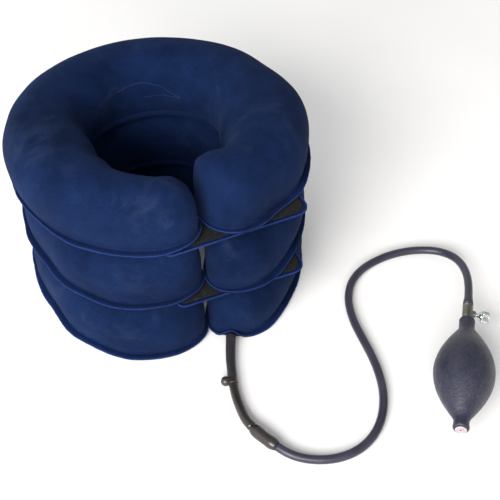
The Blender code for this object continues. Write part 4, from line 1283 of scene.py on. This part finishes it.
intake_prof = rounded([(4.75, BULB_L + 0.35), (4.9, BULB_L + 0.9), (4.5, BULB_L + 1.3), (3.3, BULB_L + 1.3),
                       (3.0, BULB_L + 0.6), (2.5, BULB_L + 0.6), (2.2, BULB_L + 1.3), (1.5, BULB_L + 1.3),
                       (1.2, BULB_L + 1.1), (1.2, BULB_L - 2.6), (2.3, BULB_L - 3.0), (2.3, BULB_L - 10.5),
                       (3.3, BULB_L - 10.6), (3.3, BULB_L - 12.4), (4.0, BULB_L - 12.4), (4.0, BULB_L + 0.35)], 0.12)
intake = lathe("intake_disc", intake_prof, pump_m, [PALE], 72)
sharp(intake, 40)
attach(intake, "collar_base")
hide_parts("intake_valve_body")

# ------------------------------------------------------------------ kept CAD parts
CARRIED = {
    "inlet_nipple": TUBE_DARK, "lower_air_transfer_tube": FITTING,
    "upper_air_transfer_tube": FITTING,
    "release_needle": STEEL, "outlet_valve_seat": FITTING,
    "outlet_check_ball": STEEL, "intake_check_ball": STEEL,
    "intake_ball_retainer": PALE,
}
for name, mat in CARRIED.items():
    ob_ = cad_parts[name]
    ob_.data.materials.clear()
    ob_.data.materials.append(mat)
for ring in ("bottom", "middle", "top"):
    path = ring_path(ring, 90)
    film = []
    for st in path[4:-4]:
        w = max(st["w"] - 6.0, 0.8)
        h = max(st["h"] * st["k"] - 9.0, 1.5)
        film.append([(st["c"][0] + st["n"][0] * px * w + COLLAR[0],
                      st["c"][1] + st["n"][1] * px * w + COLLAR[1],
                      LEVEL[ring] + 3.4 + pz * h) for px, pz in PROFILE[::2]])
    ob_ = from_grid(ring + "_air_bladder", np.array(film) * MM, [FILM], wrap_j=True, caps=True)
    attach(ob_, BODY[ring])
    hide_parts(ring + "_ring_bladder")
    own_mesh(ob_)

# ------------------------------------------------------------------ floor and light
floor_mat = Nodes("pale_floor")
fl = floor_mat.noise(6.0, 2.0, 0.5)
floor_mat.set(Base_Color=floor_mat.ramp(fl, [(0.3, (0.86, 0.86, 0.86)), (0.7, (0.89, 0.89, 0.89))]),
              Roughness=0.9, Specular_IOR_Level=0.1)
bm = bmesh.new()
bmesh.ops.create_grid(bm, x_segments=8, y_segments=8, size=3.0)
mesh = bpy.data.meshes.new("studio_floor")
bm.to_mesh(mesh)
bm.free()
floor = link("studio_floor", mesh, [floor_mat.mat])
floor.location = (0, 0, -0.0004)

world = bpy.data.worlds.new("studio")
bpy.context.scene.world = world
world.use_nodes = True
bg = world.node_tree.nodes["Background"]
bg.inputs["Color"].default_value = (1.0, 1.0, 1.0, 1.0)
wt = world.node_tree
coord = wt.nodes.new("ShaderNodeTexCoord")
sep = wt.nodes.new("ShaderNodeSeparateXYZ")
wt.links.new(coord.outputs["Generated"], sep.inputs[0])
span = wt.nodes.new("ShaderNodeMapRange")
span.inputs["From Min"].default_value = -0.8
span.inputs["From Max"].default_value = 0.8
span.inputs["To Min"].default_value = 1.20
span.inputs["To Max"].default_value = 0.48
wt.links.new(sep.outputs["X"], span.inputs["Value"])
over = wt.nodes.new("ShaderNodeMapRange")
over.inputs["From Min"].default_value = 0.45
over.inputs["From Max"].default_value = 1.0
over.inputs["To Min"].default_value = 1.12
over.inputs["To Max"].default_value = 0.42
wt.links.new(sep.outputs["Z"], over.inputs["Value"])
both = wt.nodes.new("ShaderNodeMath")
both.operation = "MULTIPLY"
wt.links.new(span.outputs["Result"], both.inputs[0])
wt.links.new(over.outputs["Result"], both.inputs[1])
wt.links.new(both.outputs[0], bg.inputs["Strength"])


def area(name, loc, target, size, power, colour=(1, 1, 1)):
    d = bpy.data.lights.new(name, "AREA")
    d.shape = "DISK"
    d.size = size
    d.energy = power
    d.color = colour
    ob = bpy.data.objects.new(name, d)
    bpy.context.scene.collection.objects.link(ob)
    ob.location = loc
    ob.rotation_mode = "QUATERNION"
    ob.rotation_quaternion = (Vector(target) - Vector(loc)).to_track_quat("-Z", "Y")
    return ob


area("key", (-1.75, -1.25, 1.25), (0.0, 0.0, 0.08), 1.7, 92.0, (1.0, 0.98, 0.95))
area("fill", (-0.75, -1.7, 0.95), (0.1, -0.15, 0.03), 0.5, 13.0, (1.0, 0.95, 0.94))
bpy.context.scene.view_settings.view_transform = "Standard"
bpy.context.scene.view_settings.look = "None"
